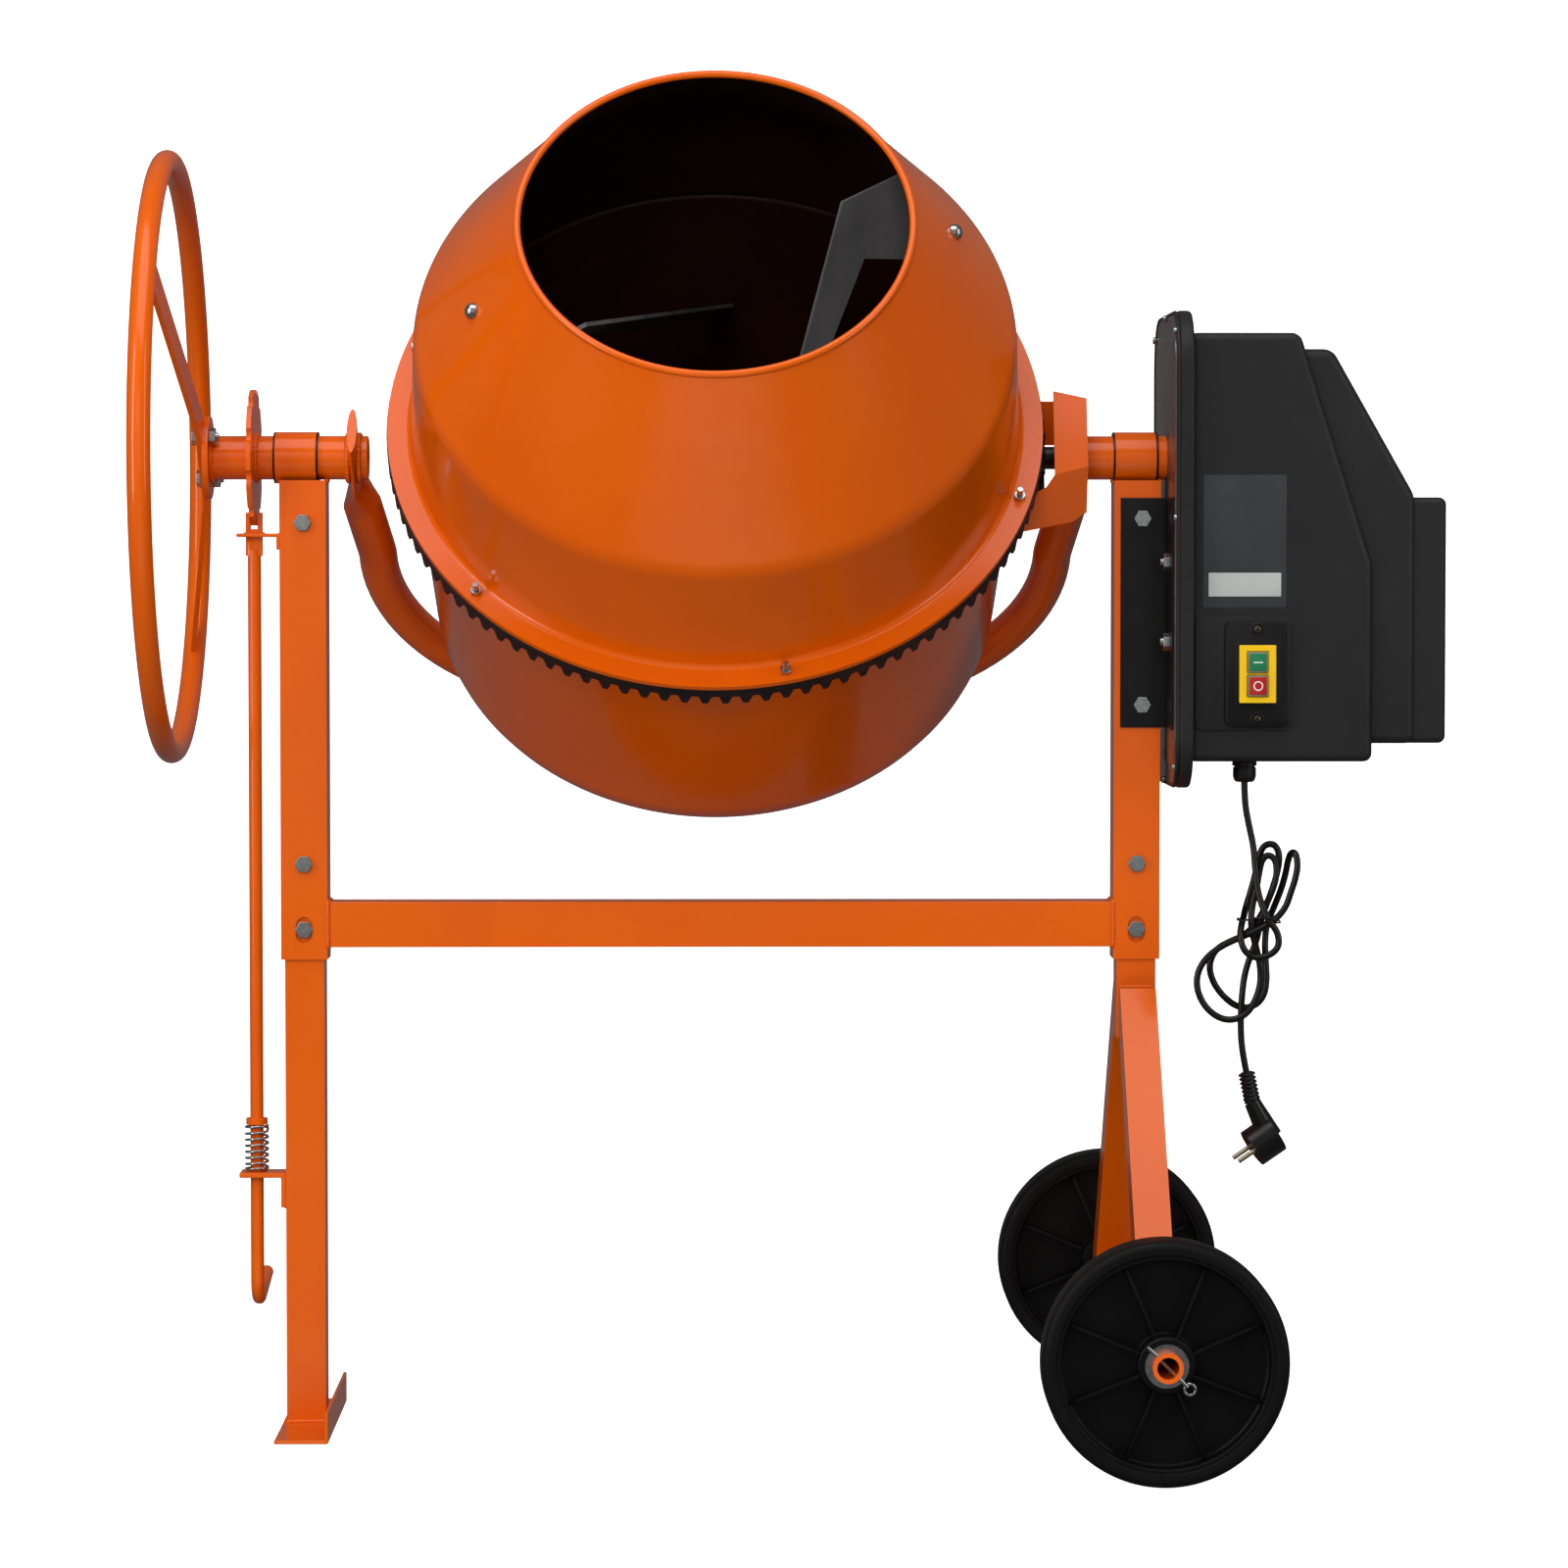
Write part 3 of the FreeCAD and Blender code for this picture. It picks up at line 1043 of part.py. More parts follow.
# frame bolts: through the posts, the legs inside them, the bracket and the plate
frame_bolts = []
for x, names in ((left_post_x, bolt_heights["left"]), (right_post_x, bolt_heights["right"])):
    for name in names:
        inset = size("post_side") / 2 - leg_half if name == "lower_bolt_height" else 0
        front = -post_half + inset
        frame_bolts += bolt(at(x, front, size(name), FACING_BACK), size("post_side") - inset)
for z in bracket_bolt_heights:
    frame_bolts += bolt(at(bracket_bolt_x, -post_half - thick, z, FACING_BACK), size("post_side") + thick)
for z in joint_heights:
    frame_bolts += bolt(at(plate_x + size("plate_thickness"), bracket_joint_y, z, FACING_LEFT),
                        size("plate_thickness") + thick)
keep(group(*frame_bolts), "frame_bolts")

# ---------------------------------------------------------------- drive train
shaft_end = size("pulley_x") + size("pulley_width") / 2 + size("pulley_cheek")
keep(rod("shaft_diameter / 2", f"{shaft_end} - pinion_inner_x",
         at(size("pinion_inner_x"), 0, tilt_height, FACING_RIGHT)), "drive_shaft")
bearings = []
for start in (size("right_trunnion_inner_x"), size("right_trunnion_outer_x") - size("bearing_length")):
    bearings.append(tube("trunnion_outer / 2 - trunnion_wall", "shaft_diameter / 2 + running_play",
                         "bearing_length", at(start, 0, tilt_height, FACING_RIGHT)))
keep(group(*bearings), "shaft_bearings")


def pulley(name, radius, flange, bore, height):
    """Flat pulley with a cheek on each side."""
    half = size("pulley_width") / 2
    cheek = size("pulley_cheek")
    body = new_body(name)
    sketch = sketch_in(body, "XZ_Plane")
    profile = [(bore, -half - cheek), (flange, -half - cheek), (flange, -half), (radius, -half),
               (radius, half), (flange, half), (flange, half + cheek), (bore, half + cheek),
               (bore, -half - cheek)]
    corners = [Vector(r, z, 0) for r, z in profile]
    draw_edges(sketch, [Part.LineSegment(first, second).toShape()
                        for first, second in zip(corners, corners[1:])])
    revolve(body, sketch)
    body.Placement = at(size("pulley_x"), 0, height, FACING_RIGHT)
    return body


keep(pulley("DrivenPulley", size("pulley_radius"), size("pulley_flange"), size("shaft_diameter") / 2,
            tilt_height), "driven_pulley")
small = pulley("SmallPulley", size("motor_pulley_radius"), size("motor_pulley_flange"),
               size("motor_shaft") / 2, size("motor_height"))
keep(small, "motor_pulley")
rotor_start = size("pulley_x") - size("pulley_width") / 2 - size("pulley_cheek")
rotor_length = size("motor_far_x") - rotor_start - 20
keep(rod("motor_shaft / 2", f"{rotor_length}", at(rotor_start, 0, size("motor_height"), FACING_RIGHT)), "motor_shaft")


def belt_loop(extra):
    """Closed loop round both pulleys, extra outside their running faces, in y and z."""
    upper_radius = size("pulley_radius") + extra
    lower_radius = size("motor_pulley_radius") + extra
    distance = tilt_height - size("motor_height")
    phi = math.asin((upper_radius - lower_radius) / distance)
    top = [Vector(0, upper_radius * math.cos(phi) * s, -upper_radius * math.sin(phi)) for s in (-1, 1)]
    low = [Vector(0, lower_radius * math.cos(phi) * s, -distance - lower_radius * math.sin(phi))
           for s in (-1, 1)]
    edges = [Part.Arc(top[0], Vector(0, 0, upper_radius), top[1]).toShape(),
             Part.LineSegment(top[1], low[1]).toShape(),
             Part.Arc(low[1], Vector(0, 0, -distance - lower_radius), low[0]).toShape(),
             Part.LineSegment(low[0], top[0]).toShape()]
    return Part.Face(Part.Wire(edges))


belt_width = size("pulley_width") - 1
belt = belt_loop(size("belt_gap") + size("belt_thickness")).cut(belt_loop(size("belt_gap")))
belt = belt.extrude(X_DIR * belt_width)
keep(feature(belt, at(size("pulley_x") - belt_width / 2, 0, tilt_height)), "drive_belt")

motor = rod("motor_radius", "motor_far_x - motor_near_x",
            at(size("motor_near_x"), 0, size("motor_height"), FACING_RIGHT))
bosses = [rod("motor_boss", "motor_near_x - plate_x - plate_thickness",
              at(cover_start, y, size("motor_height") + z, FACING_RIGHT))
          for y, z in ((-48, -45), (48, -45), (-64, 12), (64, 12))]
motor_bore = rod("motor_shaft / 2 + running_play", "motor_far_x - motor_near_x - 10",
                 at(size("motor_near_x"), 0, size("motor_height"), FACING_RIGHT))
keep(cut(fuse(motor, *bosses), motor_bore), "motor_body")

# ---------------------------------------------------------------- switch
cover_front = -size("body_half")
switch_x = size("switch_x")
switch_z = size("switch_z")
switch_front = cover_front - size("switch_depth")
bezel_front = switch_front - size("bezel_depth")
button_gap = size("button_gap")
pocket_depth = size("button_travel") + 3
switch_base = block("switch_width", "switch_depth", "switch_height",
                    at(switch_x, cover_front - size("switch_depth") / 2, switch_z - size("switch_height") / 2))
button_offsets = {"start_button": size("button_height") / 2 + 1.2,
                  "stop_button": -size("button_height") / 2 - 1.2}
pockets = [block("button_width + 2 * button_gap", f"{pocket_depth}", "button_height + 2 * button_gap",
                 at(switch_x, switch_front + pocket_depth / 2,
                    switch_z + offset - size("button_height") / 2 - button_gap))
           for offset in button_offsets.values()]
keep(cut(switch_base, *pockets), "switch_box")
bezel = block("bezel_width", "bezel_depth", "bezel_height",
              at(switch_x, bezel_front + size("bezel_depth") / 2, switch_z - size("bezel_height") / 2))
windows = [block("button_width + 2 * button_gap", "bezel_depth + 4", "button_height + 2 * button_gap",
                 at(switch_x, bezel_front + size("bezel_depth") / 2,
                    switch_z + offset - size("button_height") / 2 - button_gap))
           for offset in button_offsets.values()]
keep(cut(bezel, *windows), "switch_bezel")
for label, proud in (("start_button", size("button_proud")), ("stop_button", size("stop_proud"))):
    button_front = bezel_front - proud
    depth = switch_front + pocket_depth - size("button_travel") - 0.5 - button_front
    keep(block("button_width", f"{depth}", "button_height",
               at(switch_x, button_front + depth / 2,
                  switch_z + button_offsets[label] - size("button_height") / 2)), label)

# ---------------------------------------------------------------- lead, hank and plug
gland_x = size("gland_x")
gland_y = -size("gland_y")
gland_top = size("body_bottom")
gland_bottom = gland_top - size("gland_length")
gland_nut = hexagon("gland_outer", "gland_length / 2", at(gland_x, gland_y, gland_top - size("gland_length") / 2))
gland_neck = rod("gland_outer / 2 - 2", "gland_length / 2", at(gland_x, gland_y, gland_bottom))
gland_thread = rod("gland_outer / 2 - 4", "cover_wall + 4", at(gland_x, gland_y, gland_top))
keep(fuse(gland_nut, gland_neck, gland_thread), "cable_gland")


def lead(points, label):
    """Round lead along hand-chosen points: arc radius is 0.45 of the shorter run over tan(half turn)."""
    radii = []
    for index in range(1, len(points) - 1):
        before = points[index] - points[index - 1]
        after = points[index + 1] - points[index]
        half_turn = before.getAngle(after) / 2
        radii.append(0.45 * min(before.Length, after.Length) / math.tan(half_turn))
    edges = rounded_path(points, radii)
    solid = sweep(edges, size("cord_diameter") / 2)
    length = sum(edge.Length for edge in edges)
    expected = length * math.pi * size("cord_diameter") ** 2 / 4
    radii_words = " ".join(f"{radius:.0f}" for radius in radii)
    print(f"{label}: length {length:.1f}, volume ratio {solid.Volume / expected:.4f}, radii {radii_words}")
    return keep(feature(solid, at()), label)


HANK_TOP = 565
HANK_BOTTOM = 402
upper_route = [Vector(gland_x, gland_y, gland_bottom), Vector(508.4, -70, 609), Vector(512.6, -70.5, 587),
               Vector(516.4, -70, HANK_TOP)]
lower_route = [Vector(505.2, -70, HANK_BOTTOM), Vector(505.6, -70, 384), Vector(507.6, -70.6, 366),
               Vector(511, -70, 349.5)]
lead(upper_route, "cord_upper")
hank_outline = [(511, HANK_TOP), (536, HANK_TOP), (552, 557), (552, 505), (542, 486), (540, 460),
                (532, 421), (521, HANK_BOTTOM), (494, HANK_BOTTOM), (472, 411), (459, 434),
                (461, 454), (474, 472), (503, 491), (511, 510)]
hank = polygon([Vector(x, gland_y - size("hank_thickness") / 2, z) for x, z in hank_outline],
               Y_DIR * size("hank_thickness"))
keep(feature(hank, at()), "cord_hank")
lead(lower_route, "cord_lower")

relief_top = lower_route[-1]
relief_way = (lower_route[-1] - lower_route[-2]).normalize()
relief_length = 30
relief = Part.makeCone(size("cord_diameter") / 2 + 2.5, size("cord_diameter") / 2 + 4.5, relief_length,
                       relief_top, relief_way)
relief_end = relief_top + relief_way * relief_length
grip_end = relief_end + Vector(13, 0, -20)
plug_axis = Vector(-0.83, -0.12, -0.55).normalize()
head_back = grip_end + Vector(4, 0, -13)
grip = Part.makeCone(8, 12, (head_back - relief_end).Length, relief_end,
                     (head_back - relief_end).normalize())
head = Part.makeCylinder(size("plug_radius"), size("plug_depth"), head_back - plug_axis * 6, plug_axis)
plug_shape = relief.fuse([grip, head]).removeSplitter()
keep(feature(plug_shape, at()), "plug_body")
face_centre = head_back + plug_axis * (size("plug_depth") - 6)
across = plug_axis.cross(Vector(0.35, 0.1, -0.6)).normalize()
pins = [feature(Part.makeCylinder(size("pin_diameter") / 2, size("pin_length"),
                                  face_centre + across * (sense * size("pin_spacing") / 2), plug_axis), at())
        for sense in (-1, 1)]
keep(group(*pins), "plug_pins")

# ---------------------------------------------------------------- check and write
doc.recompute()
faults = []
for obj in doc.Objects:
    if "Invalid" in obj.State or "Error" in obj.State:
        faults.append(f"{obj.Label}: {obj.State}")
for obj in nodes:
    if obj.Shape.isNull() or not obj.Shape.isValid() or not obj.Shape.Solids:
        faults.append(f"{obj.Label}: bad shape")
if faults:
    raise RuntimeError("; ".join(faults))

os.makedirs("parts", exist_ok=True)
whole = FreeCAD.BoundBox()
for obj in nodes:
    obj.Shape.exportStep(f"parts/{obj.Label}.step")
    whole.add(obj.Shape.BoundBox)
    box = obj.Shape.BoundBox
    print(f"{obj.Label}: {len(obj.Shape.Solids)} solids, {obj.Shape.Volume / 1000:.1f} cm3, "
          f"x {box.XMin:.1f} {box.XMax:.1f}, y {box.YMin:.1f} {box.YMax:.1f}, z {box.ZMin:.1f} {box.ZMax:.1f}")
print(f"{len(nodes)} nodes, box {whole.XMin:.1f} {whole.XMax:.1f} {whole.YMin:.1f} {whole.YMax:.1f} "
      f"{whole.ZMin:.1f} {whole.ZMax:.1f}")
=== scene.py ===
# %% [markdown]
# # A tilting-drum concrete mixer
# The part's exact solids arrive first and are the frame that every finish and every new
# mesh has to fit. They stay where they are: a new piece may stand for a solid, but it
# never moves it. Lengths are written in millimetres, and `place` turns them to metres.

# %% Load the frame
import bpy
import math
import random
from mathutils import Matrix, Vector


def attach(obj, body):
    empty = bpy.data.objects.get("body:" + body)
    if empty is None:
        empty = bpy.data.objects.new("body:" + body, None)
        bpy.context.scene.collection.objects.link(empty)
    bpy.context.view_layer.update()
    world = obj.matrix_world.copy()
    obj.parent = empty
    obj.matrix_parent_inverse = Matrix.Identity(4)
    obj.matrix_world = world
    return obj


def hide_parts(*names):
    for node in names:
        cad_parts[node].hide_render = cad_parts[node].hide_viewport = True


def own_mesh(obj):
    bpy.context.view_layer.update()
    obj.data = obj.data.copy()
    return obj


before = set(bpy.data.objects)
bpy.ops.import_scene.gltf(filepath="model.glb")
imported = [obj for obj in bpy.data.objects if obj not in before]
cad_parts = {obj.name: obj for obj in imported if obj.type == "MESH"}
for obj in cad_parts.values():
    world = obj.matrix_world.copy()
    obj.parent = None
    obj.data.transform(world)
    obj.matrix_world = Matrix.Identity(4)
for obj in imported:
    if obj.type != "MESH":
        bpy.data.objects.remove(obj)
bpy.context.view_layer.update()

# %% [markdown]
# ## Two frames of reference
# Sizes on a mixer are easiest to read from its drum: X from the drum's middle, Y from the
# tilt axis, Z from the floor. The drum itself leans back by `LEAN`, so its own parts are
# shaped upright, with Z along the drum's axis, and then leaned as one.

# %% Frames and units
ORIGIN_X = 79.9
TILT_HEIGHT = 941.0
LEAN = math.radians(52.5)
METRE = 0.001


def place(x, y, z):
    """A point in metres in the row frame, from millimetres measured at the drum."""
    return Vector(((x - ORIGIN_X) * METRE, y * METRE, z * METRE))


def facing_front(x, y, z):
    """A frame at a point, with its z axis turned to the front."""
    return Matrix.Translation(place(x, y, z)) @ Matrix.Rotation(math.pi / 2, 4, "X")


STAND = Matrix.Translation(place(0, 0, 0))
AXLES = Matrix.Translation(place(0, 0, TILT_HEIGHT))
DRUM = AXLES @ Matrix.Rotation(LEAN, 4, "X")

# %% [markdown]
# ## Camera and light
# A long lens from five metres keeps the posts upright and the drum's ellipse true. It looks
# slightly down. The light is a product studio: two tall soft boxes draw the bright bands
# down both sides of the glossy drum, a top box models the cone, and wide boxes in front,
# behind and below fill in. Those three are kept out of reflections, because a box mirrored
# in paint veils its colour with white, and a wide faint card gives the bolts something to
# mirror instead. The room itself stays dim, so the orange keeps its depth.

# %% Camera
LENS_MM = 118.1
CAMERA_HEIGHT = 847
CAMERA_DISTANCE = 5000
PITCH_DOWN = 2.55
YAW_RIGHT = 0.764
SENSOR_MM = 36
FARTHEST_M = 50

bpy.ops.object.camera_add(
    location=place(0, -CAMERA_DISTANCE, CAMERA_HEIGHT),
    rotation=(math.radians(90 - PITCH_DOWN), 0, math.radians(-YAW_RIGHT)),
)
camera = bpy.context.object
camera.name = "studio_camera"
camera.data.lens = LENS_MM
camera.data.sensor_width = SENSOR_MM
camera.data.clip_end = FARTHEST_M
bpy.context.scene.camera = camera

# %% Light
SOFT_BOXES = [
    # name, x, y, z, width, height, watts, aim
    ("left_box", -2500, -2000, 1500, 900, 2600, 34, (0, 0, 900)),
    ("right_box", 2700, -1600, 1600, 600, 2600, 18, (0, 0, 900)),
    ("top_box", -200, -1100, 3300, 3000, 2200, 42, (0, 0, 900)),
    ("front_box", -700, -5200, 2500, 2600, 1700, 104, (0, 0, 800)),
    ("back_box", 600, 2300, 2400, 3400, 2400, 46, (0, 0, 800)),
    ("low_box", 0, -2600, -900, 2600, 1500, 32, (0, 0, 700)),
    ("front_card", -200, -4600, 1500, 3600, 2600, 9, (0, 0, 800)),
]
KEPT_OUT_OF_REFLECTIONS = ("front_box", "low_box", "back_box")
ROOM_LIGHT = 0.12
for name, x, y, z, width, height, watts, aim in SOFT_BOXES:
    spot = place(x, y, z)
    bpy.ops.object.light_add(type="AREA", location=spot)
    lamp = bpy.context.object
    lamp.name = name
    lamp.data.shape = "RECTANGLE"
    lamp.data.size = width * METRE
    lamp.data.size_y = height * METRE
    lamp.data.energy = watts
    lamp.visible_glossy = name not in KEPT_OUT_OF_REFLECTIONS
    lamp.rotation_euler = (place(*aim) - spot).to_track_quat("-Z", "Y").to_euler()

world = bpy.data.worlds.new("studio_world")
bpy.context.scene.world = world
world.use_nodes = True
world.node_tree.nodes["Background"].inputs["Color"].default_value = (1, 1, 1, 1)
world.node_tree.nodes["Background"].inputs["Strength"].default_value = ROOM_LIGHT
bpy.context.scene.view_settings.view_transform = "Standard"
print("lights", len(SOFT_BOXES))

# %% [markdown]
# ## Finishes
# Each finish starts from the real one. A few numbers set the surface as a whole, and noise
# at a real size in millimetres breaks it up: the skin of powder paint, the grain of a
# moulded cover, the spangle of zinc. One helper adds a node with its settings and links.

# %% Finish helpers


def linear(hex_colour):
    """A linear colour from an sRGB hex value."""
    channels = [int(hex_colour[i:i + 2], 16) / 255 for i in (1, 3, 5)]
    return tuple(c / 12.92 if c <= 0.04045 else ((c + 0.055) / 1.055) ** 2.4 for c in channels) + (1,)


def add(tree, kind, inputs=None, links=None, **settings):
    """One node: its properties, its socket values, and the sockets that feed it."""
    made = tree.nodes.new("ShaderNode" + kind)
    for key, value in settings.items():
        setattr(made, key, value)
    for key, value in (inputs or {}).items():
        made.inputs[key].default_value = value
    for key, source in (links or {}).items():
        tree.links.new(source, made.inputs[key])
    return made


def noise(tree, size_mm, detail=3.0, stretch=(1, 1, 1)):
    """Noise whose cells are about size_mm across, in the object's own coordinates."""
    where = add(tree, "TexCoord")
    scaled = add(tree, "Mapping", {"Scale": stretch}, {"Vector": where.outputs["Object"]})
    return add(tree, "TexNoise", {"Scale": 1 / (size_mm * METRE), "Detail": detail},
               {"Vector": scaled.outputs["Vector"]}).outputs["Fac"]


def ramp(tree, source, low, high, first, last):
    """The source stretched between low and high, as a mix of two colours or greys."""
    made = add(tree, "ValToRGB", links={"Fac": source})
    made.color_ramp.elements[0].position = low
    made.color_ramp.elements[1].position = high
    made.color_ramp.elements[0].color = first
    made.color_ramp.elements[1].color = last
    return made.outputs["Color"]


def grey(value):
    return (value, value, value, 1)


COAT_ROUGH = 0.06


def finish(name, colour, rough, metal=0.0, second=None, patch_mm=90, grain_mm=None, grain_depth=0.05,
           grain_strength=0.3, rough_spread=0.05, coat=0.0, specular=0.5, stretch=(1, 1, 1),
           patch_range=(0.35, 0.7)):
    """A finish: two near colours in patches, uneven gloss, and a bump of one real grain size."""
    material = bpy.data.materials.new(name)
    material.use_nodes = True
    tree = material.node_tree
    shader = tree.nodes["Principled BSDF"]
    shader.inputs["Metallic"].default_value = metal
    shader.inputs["Coat Weight"].default_value = coat
    shader.inputs["Specular IOR Level"].default_value = specular
    shader.inputs["Coat Roughness"].default_value = COAT_ROUGH
    if second:
        patches = noise(tree, patch_mm, 4.0, stretch)
        tree.links.new(ramp(tree, patches, *patch_range, linear(colour), linear(second)),
                       shader.inputs["Base Color"])
    else:
        shader.inputs["Base Color"].default_value = linear(colour)
    gloss = noise(tree, patch_mm * 0.4, 5.0, stretch)
    tree.links.new(ramp(tree, gloss, 0.3, 0.7, grey(max(rough - rough_spread, 0.02)),
                        grey(rough + rough_spread)), shader.inputs["Roughness"])
    if grain_mm:
        bump = add(tree, "Bump", {"Strength": grain_strength, "Distance": grain_depth * METRE},
                   {"Height": noise(tree, grain_mm, 2.0, stretch)})
        tree.links.new(bump.outputs["Normal"], shader.inputs["Normal"])
    return material


# %% [markdown]
# Powder paint is baked polyester. It is glossy, with a very shallow orange-peel skin about
# two millimetres across, and it never varies much in colour. Inside the drum the same orange
# paint is darkened to a deep brown, as painted shade for the dim inside. The cover is
# polypropylene, moulded in a tool with a spark-eroded grain.

# %% Make the finishes
powder_paint = finish("orange_powder_paint", "#E56101", 0.2, second="#E05B01", patch_mm=160, grain_mm=2.2,
                      grain_depth=0.03, grain_strength=0.25, rough_spread=0.04, coat=0.25, specular=0.3)
# The drum's inside is the same orange paint, darkened to brown here as painted shade.
inside_painted_shade = finish("painted_shade_inside_drum", "#38150A", 0.5, second="#190A06", patch_mm=120, grain_mm=2.0,
                      grain_depth=0.05, rough_spread=0.08, patch_range=(0.3, 0.75))
cover_plastic = finish("grained_polypropylene", "#242425", 0.5, second="#202021", patch_mm=120, grain_mm=1.1,
                       grain_depth=0.12, grain_strength=0.6, specular=0.3)
tyre_rubber = finish("solid_rubber_tyre", "#0A0A0A", 0.55, second="#0F0E0E", patch_mm=60, grain_mm=1.4,
                     grain_depth=0.08, grain_strength=0.4, rough_spread=0.08, specular=0.2)
wheel_plastic = finish("moulded_wheel_plastic", "#040404", 0.5, second="#070707", patch_mm=45, grain_mm=3.0,
                       grain_depth=0.06, grain_strength=0.4, rough_spread=0.1, specular=0.25)
black_enamel = finish("black_enamel", "#060606", 0.35, second="#090909", patch_mm=60, grain_mm=2.0,
                      grain_depth=0.04)
cast_iron = finish("black_painted_cast_iron", "#08080A", 0.5, second="#0D0D0F", patch_mm=30, grain_mm=1.2,
                   grain_depth=0.15, grain_strength=0.7, rough_spread=0.1)
zinc = finish("bright_zinc_plate", "#C9CBCA", 0.24, 1.0, second="#AEB1B3", patch_mm=6, grain_mm=0.8,
              grain_depth=0.02, rough_spread=0.08)
galvanised = finish("galvanised_sheet", "#8E9090", 0.36, 0.9, second="#7C7F80", patch_mm=14, grain_mm=3.0,
                    grain_depth=0.02, rough_spread=0.08)
rolled_steel = finish("hot_rolled_steel", "#6E6C6D", 0.5, 0.2, second="#5A5959", patch_mm=40, grain_mm=1.0,
                      grain_depth=0.05, rough_spread=0.12, stretch=(1, 1, 0.15))
ground_steel = finish("ground_steel", "#9A9C9E", 0.3, 1.0, patch_mm=10, grain_mm=0.6, stretch=(1, 1, 6))
cord_pvc = finish("black_pvc_sheath", "#050505", 0.32, second="#070707", patch_mm=40, grain_mm=1.0,
                  grain_depth=0.02)
switch_plastic = finish("satin_black_abs", "#0A0A0A", 0.36, patch_mm=30, grain_mm=0.9, grain_depth=0.04)
yellow_plastic = finish("yellow_abs", "#F2C400", 0.32, second="#EDBB00", patch_mm=25)
green_plastic = finish("green_abs", "#1E7B4F", 0.3, second="#1A7148", patch_mm=15)
red_plastic = finish("red_abs", "#B3201C", 0.28, second="#A51B19", patch_mm=15)
white_print = finish("white_print", "#E6E6E0", 0.45)
nickel = finish("nickel_plated_brass", "#D6CDB4", 0.2, 1.0, second="#C4B995", patch_mm=5)
plate_print = finish("smoked_label_film", "#37393A", 0.45, second="#333536", patch_mm=60, specular=0.3)
shaded_film = finish("pale_label_film", "#B9BBB8", 0.4, second="#B0B2AF", patch_mm=60)
smoked_cover = finish("smoked_button_cover", "#8C8468", 0.18, second="#7D7760", patch_mm=6)
brass_screw = finish("brassed_screw", "#8A7A52", 0.35, 1.0, second="#5E5440", patch_mm=3)
print("finishes", len(bpy.data.materials))

# %% [markdown]
# ## Paper and floor
# The mixer stands on a pale floor, and a sheet of white paper hangs behind it. Both glow
# evenly, so that no edge or shadow shows on them. They cast no light on the mixer and show
# in no reflection.

# %% The white paper and the pale floor
FLOOR_WIDTH = 60000
PAPER_WIDTH, PAPER_BEHIND, PAPER_MIDDLE = 4600, 3000, 500
paper_light = bpy.data.materials.new("lit_white_paper")
paper_light.use_nodes = True
paper_inputs = paper_light.node_tree.nodes["Principled BSDF"].inputs
paper_inputs["Base Color"].default_value = grey(0.9)
paper_inputs["Emission Color"].default_value = grey(1)
paper_inputs["Emission Strength"].default_value = 1.0
bpy.ops.mesh.primitive_plane_add(size=PAPER_WIDTH * METRE, rotation=(math.pi / 2, 0, 0),
                                 location=(0, PAPER_BEHIND * METRE, PAPER_MIDDLE * METRE))
white_paper = bpy.context.object
white_paper.name = "white_paper"
white_paper.data.materials.append(paper_light)
bpy.ops.mesh.primitive_plane_add(size=FLOOR_WIDTH * METRE, location=place(0, 0, 0))
pale_floor = bpy.context.object
pale_floor.name = "pale_floor"
pale_floor.data.materials.append(paper_light)
for sheet in (white_paper, pale_floor):
    sheet.visible_glossy = False
    sheet.visible_diffuse = False

# %% [markdown]
# ## Tools of the bench
# Four ways to make a piece cover the whole machine. Bent and boxed steel starts from its
# exact solid, welded into one skin, with the small edge radius that rolling leaves. Round
# things are turned from a profile. Flat things are cut from an outline. Weld beads are
# laid along a line, a little lumpy, as a hand leaves them.

# %% Piece helpers


def select_only(piece):
    bpy.ops.object.select_all(action="DESELECT")
    piece.select_set(True)
    bpy.context.view_layer.objects.active = piece


def settle(piece, name, body, slot, *materials, replaces=(), angle=30):
    """Name a piece, give it its finish and body, and hide the solids it stands for."""
    piece.name = name
    piece.data.name = name
    for material in materials:
        piece.data.materials.append(material)
    if piece.type == "MESH":
        select_only(piece)
        bpy.ops.object.shade_smooth_by_angle(angle=math.radians(angle))
    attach(piece, body)
    if replaces:
        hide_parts(*replaces)
    return piece


def put(piece, matrix):
    """Move a mesh's own points, so that its object stays at the origin."""
    piece.data.transform(matrix)
    return piece


def modify(piece, kind, **settings):
    """Add one modifier, set it and apply it."""
    select_only(piece)
    made = piece.modifiers.new(kind.lower(), kind)
    for key, value in settings.items():
        setattr(made, key, value)
    bpy.ops.object.modifier_apply(modifier=made.name)
    return piece


def edit(piece, *operations):
    """Run mesh operations in edit mode with everything selected first."""
    select_only(piece)
    bpy.ops.object.mode_set(mode="EDIT")
    bpy.ops.mesh.select_all(action="SELECT")
    for operation, settings in operations:
        operation(**settings)
    bpy.ops.object.mode_set(mode="OBJECT")
    return piece


def skin_of(node):
    """A welded copy of a solid's mesh, with its flat faces whole again."""
    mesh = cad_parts[node].data.copy()
    mesh.materials.clear()
    piece = bpy.data.objects.new(node + "_skin", mesh)
    bpy.context.scene.collection.objects.link(piece)
    return edit(piece, (bpy.ops.mesh.remove_doubles, {"threshold": 1e-5}),
                (bpy.ops.mesh.dissolve_limited, {"angle_limit": math.radians(0.6)}))


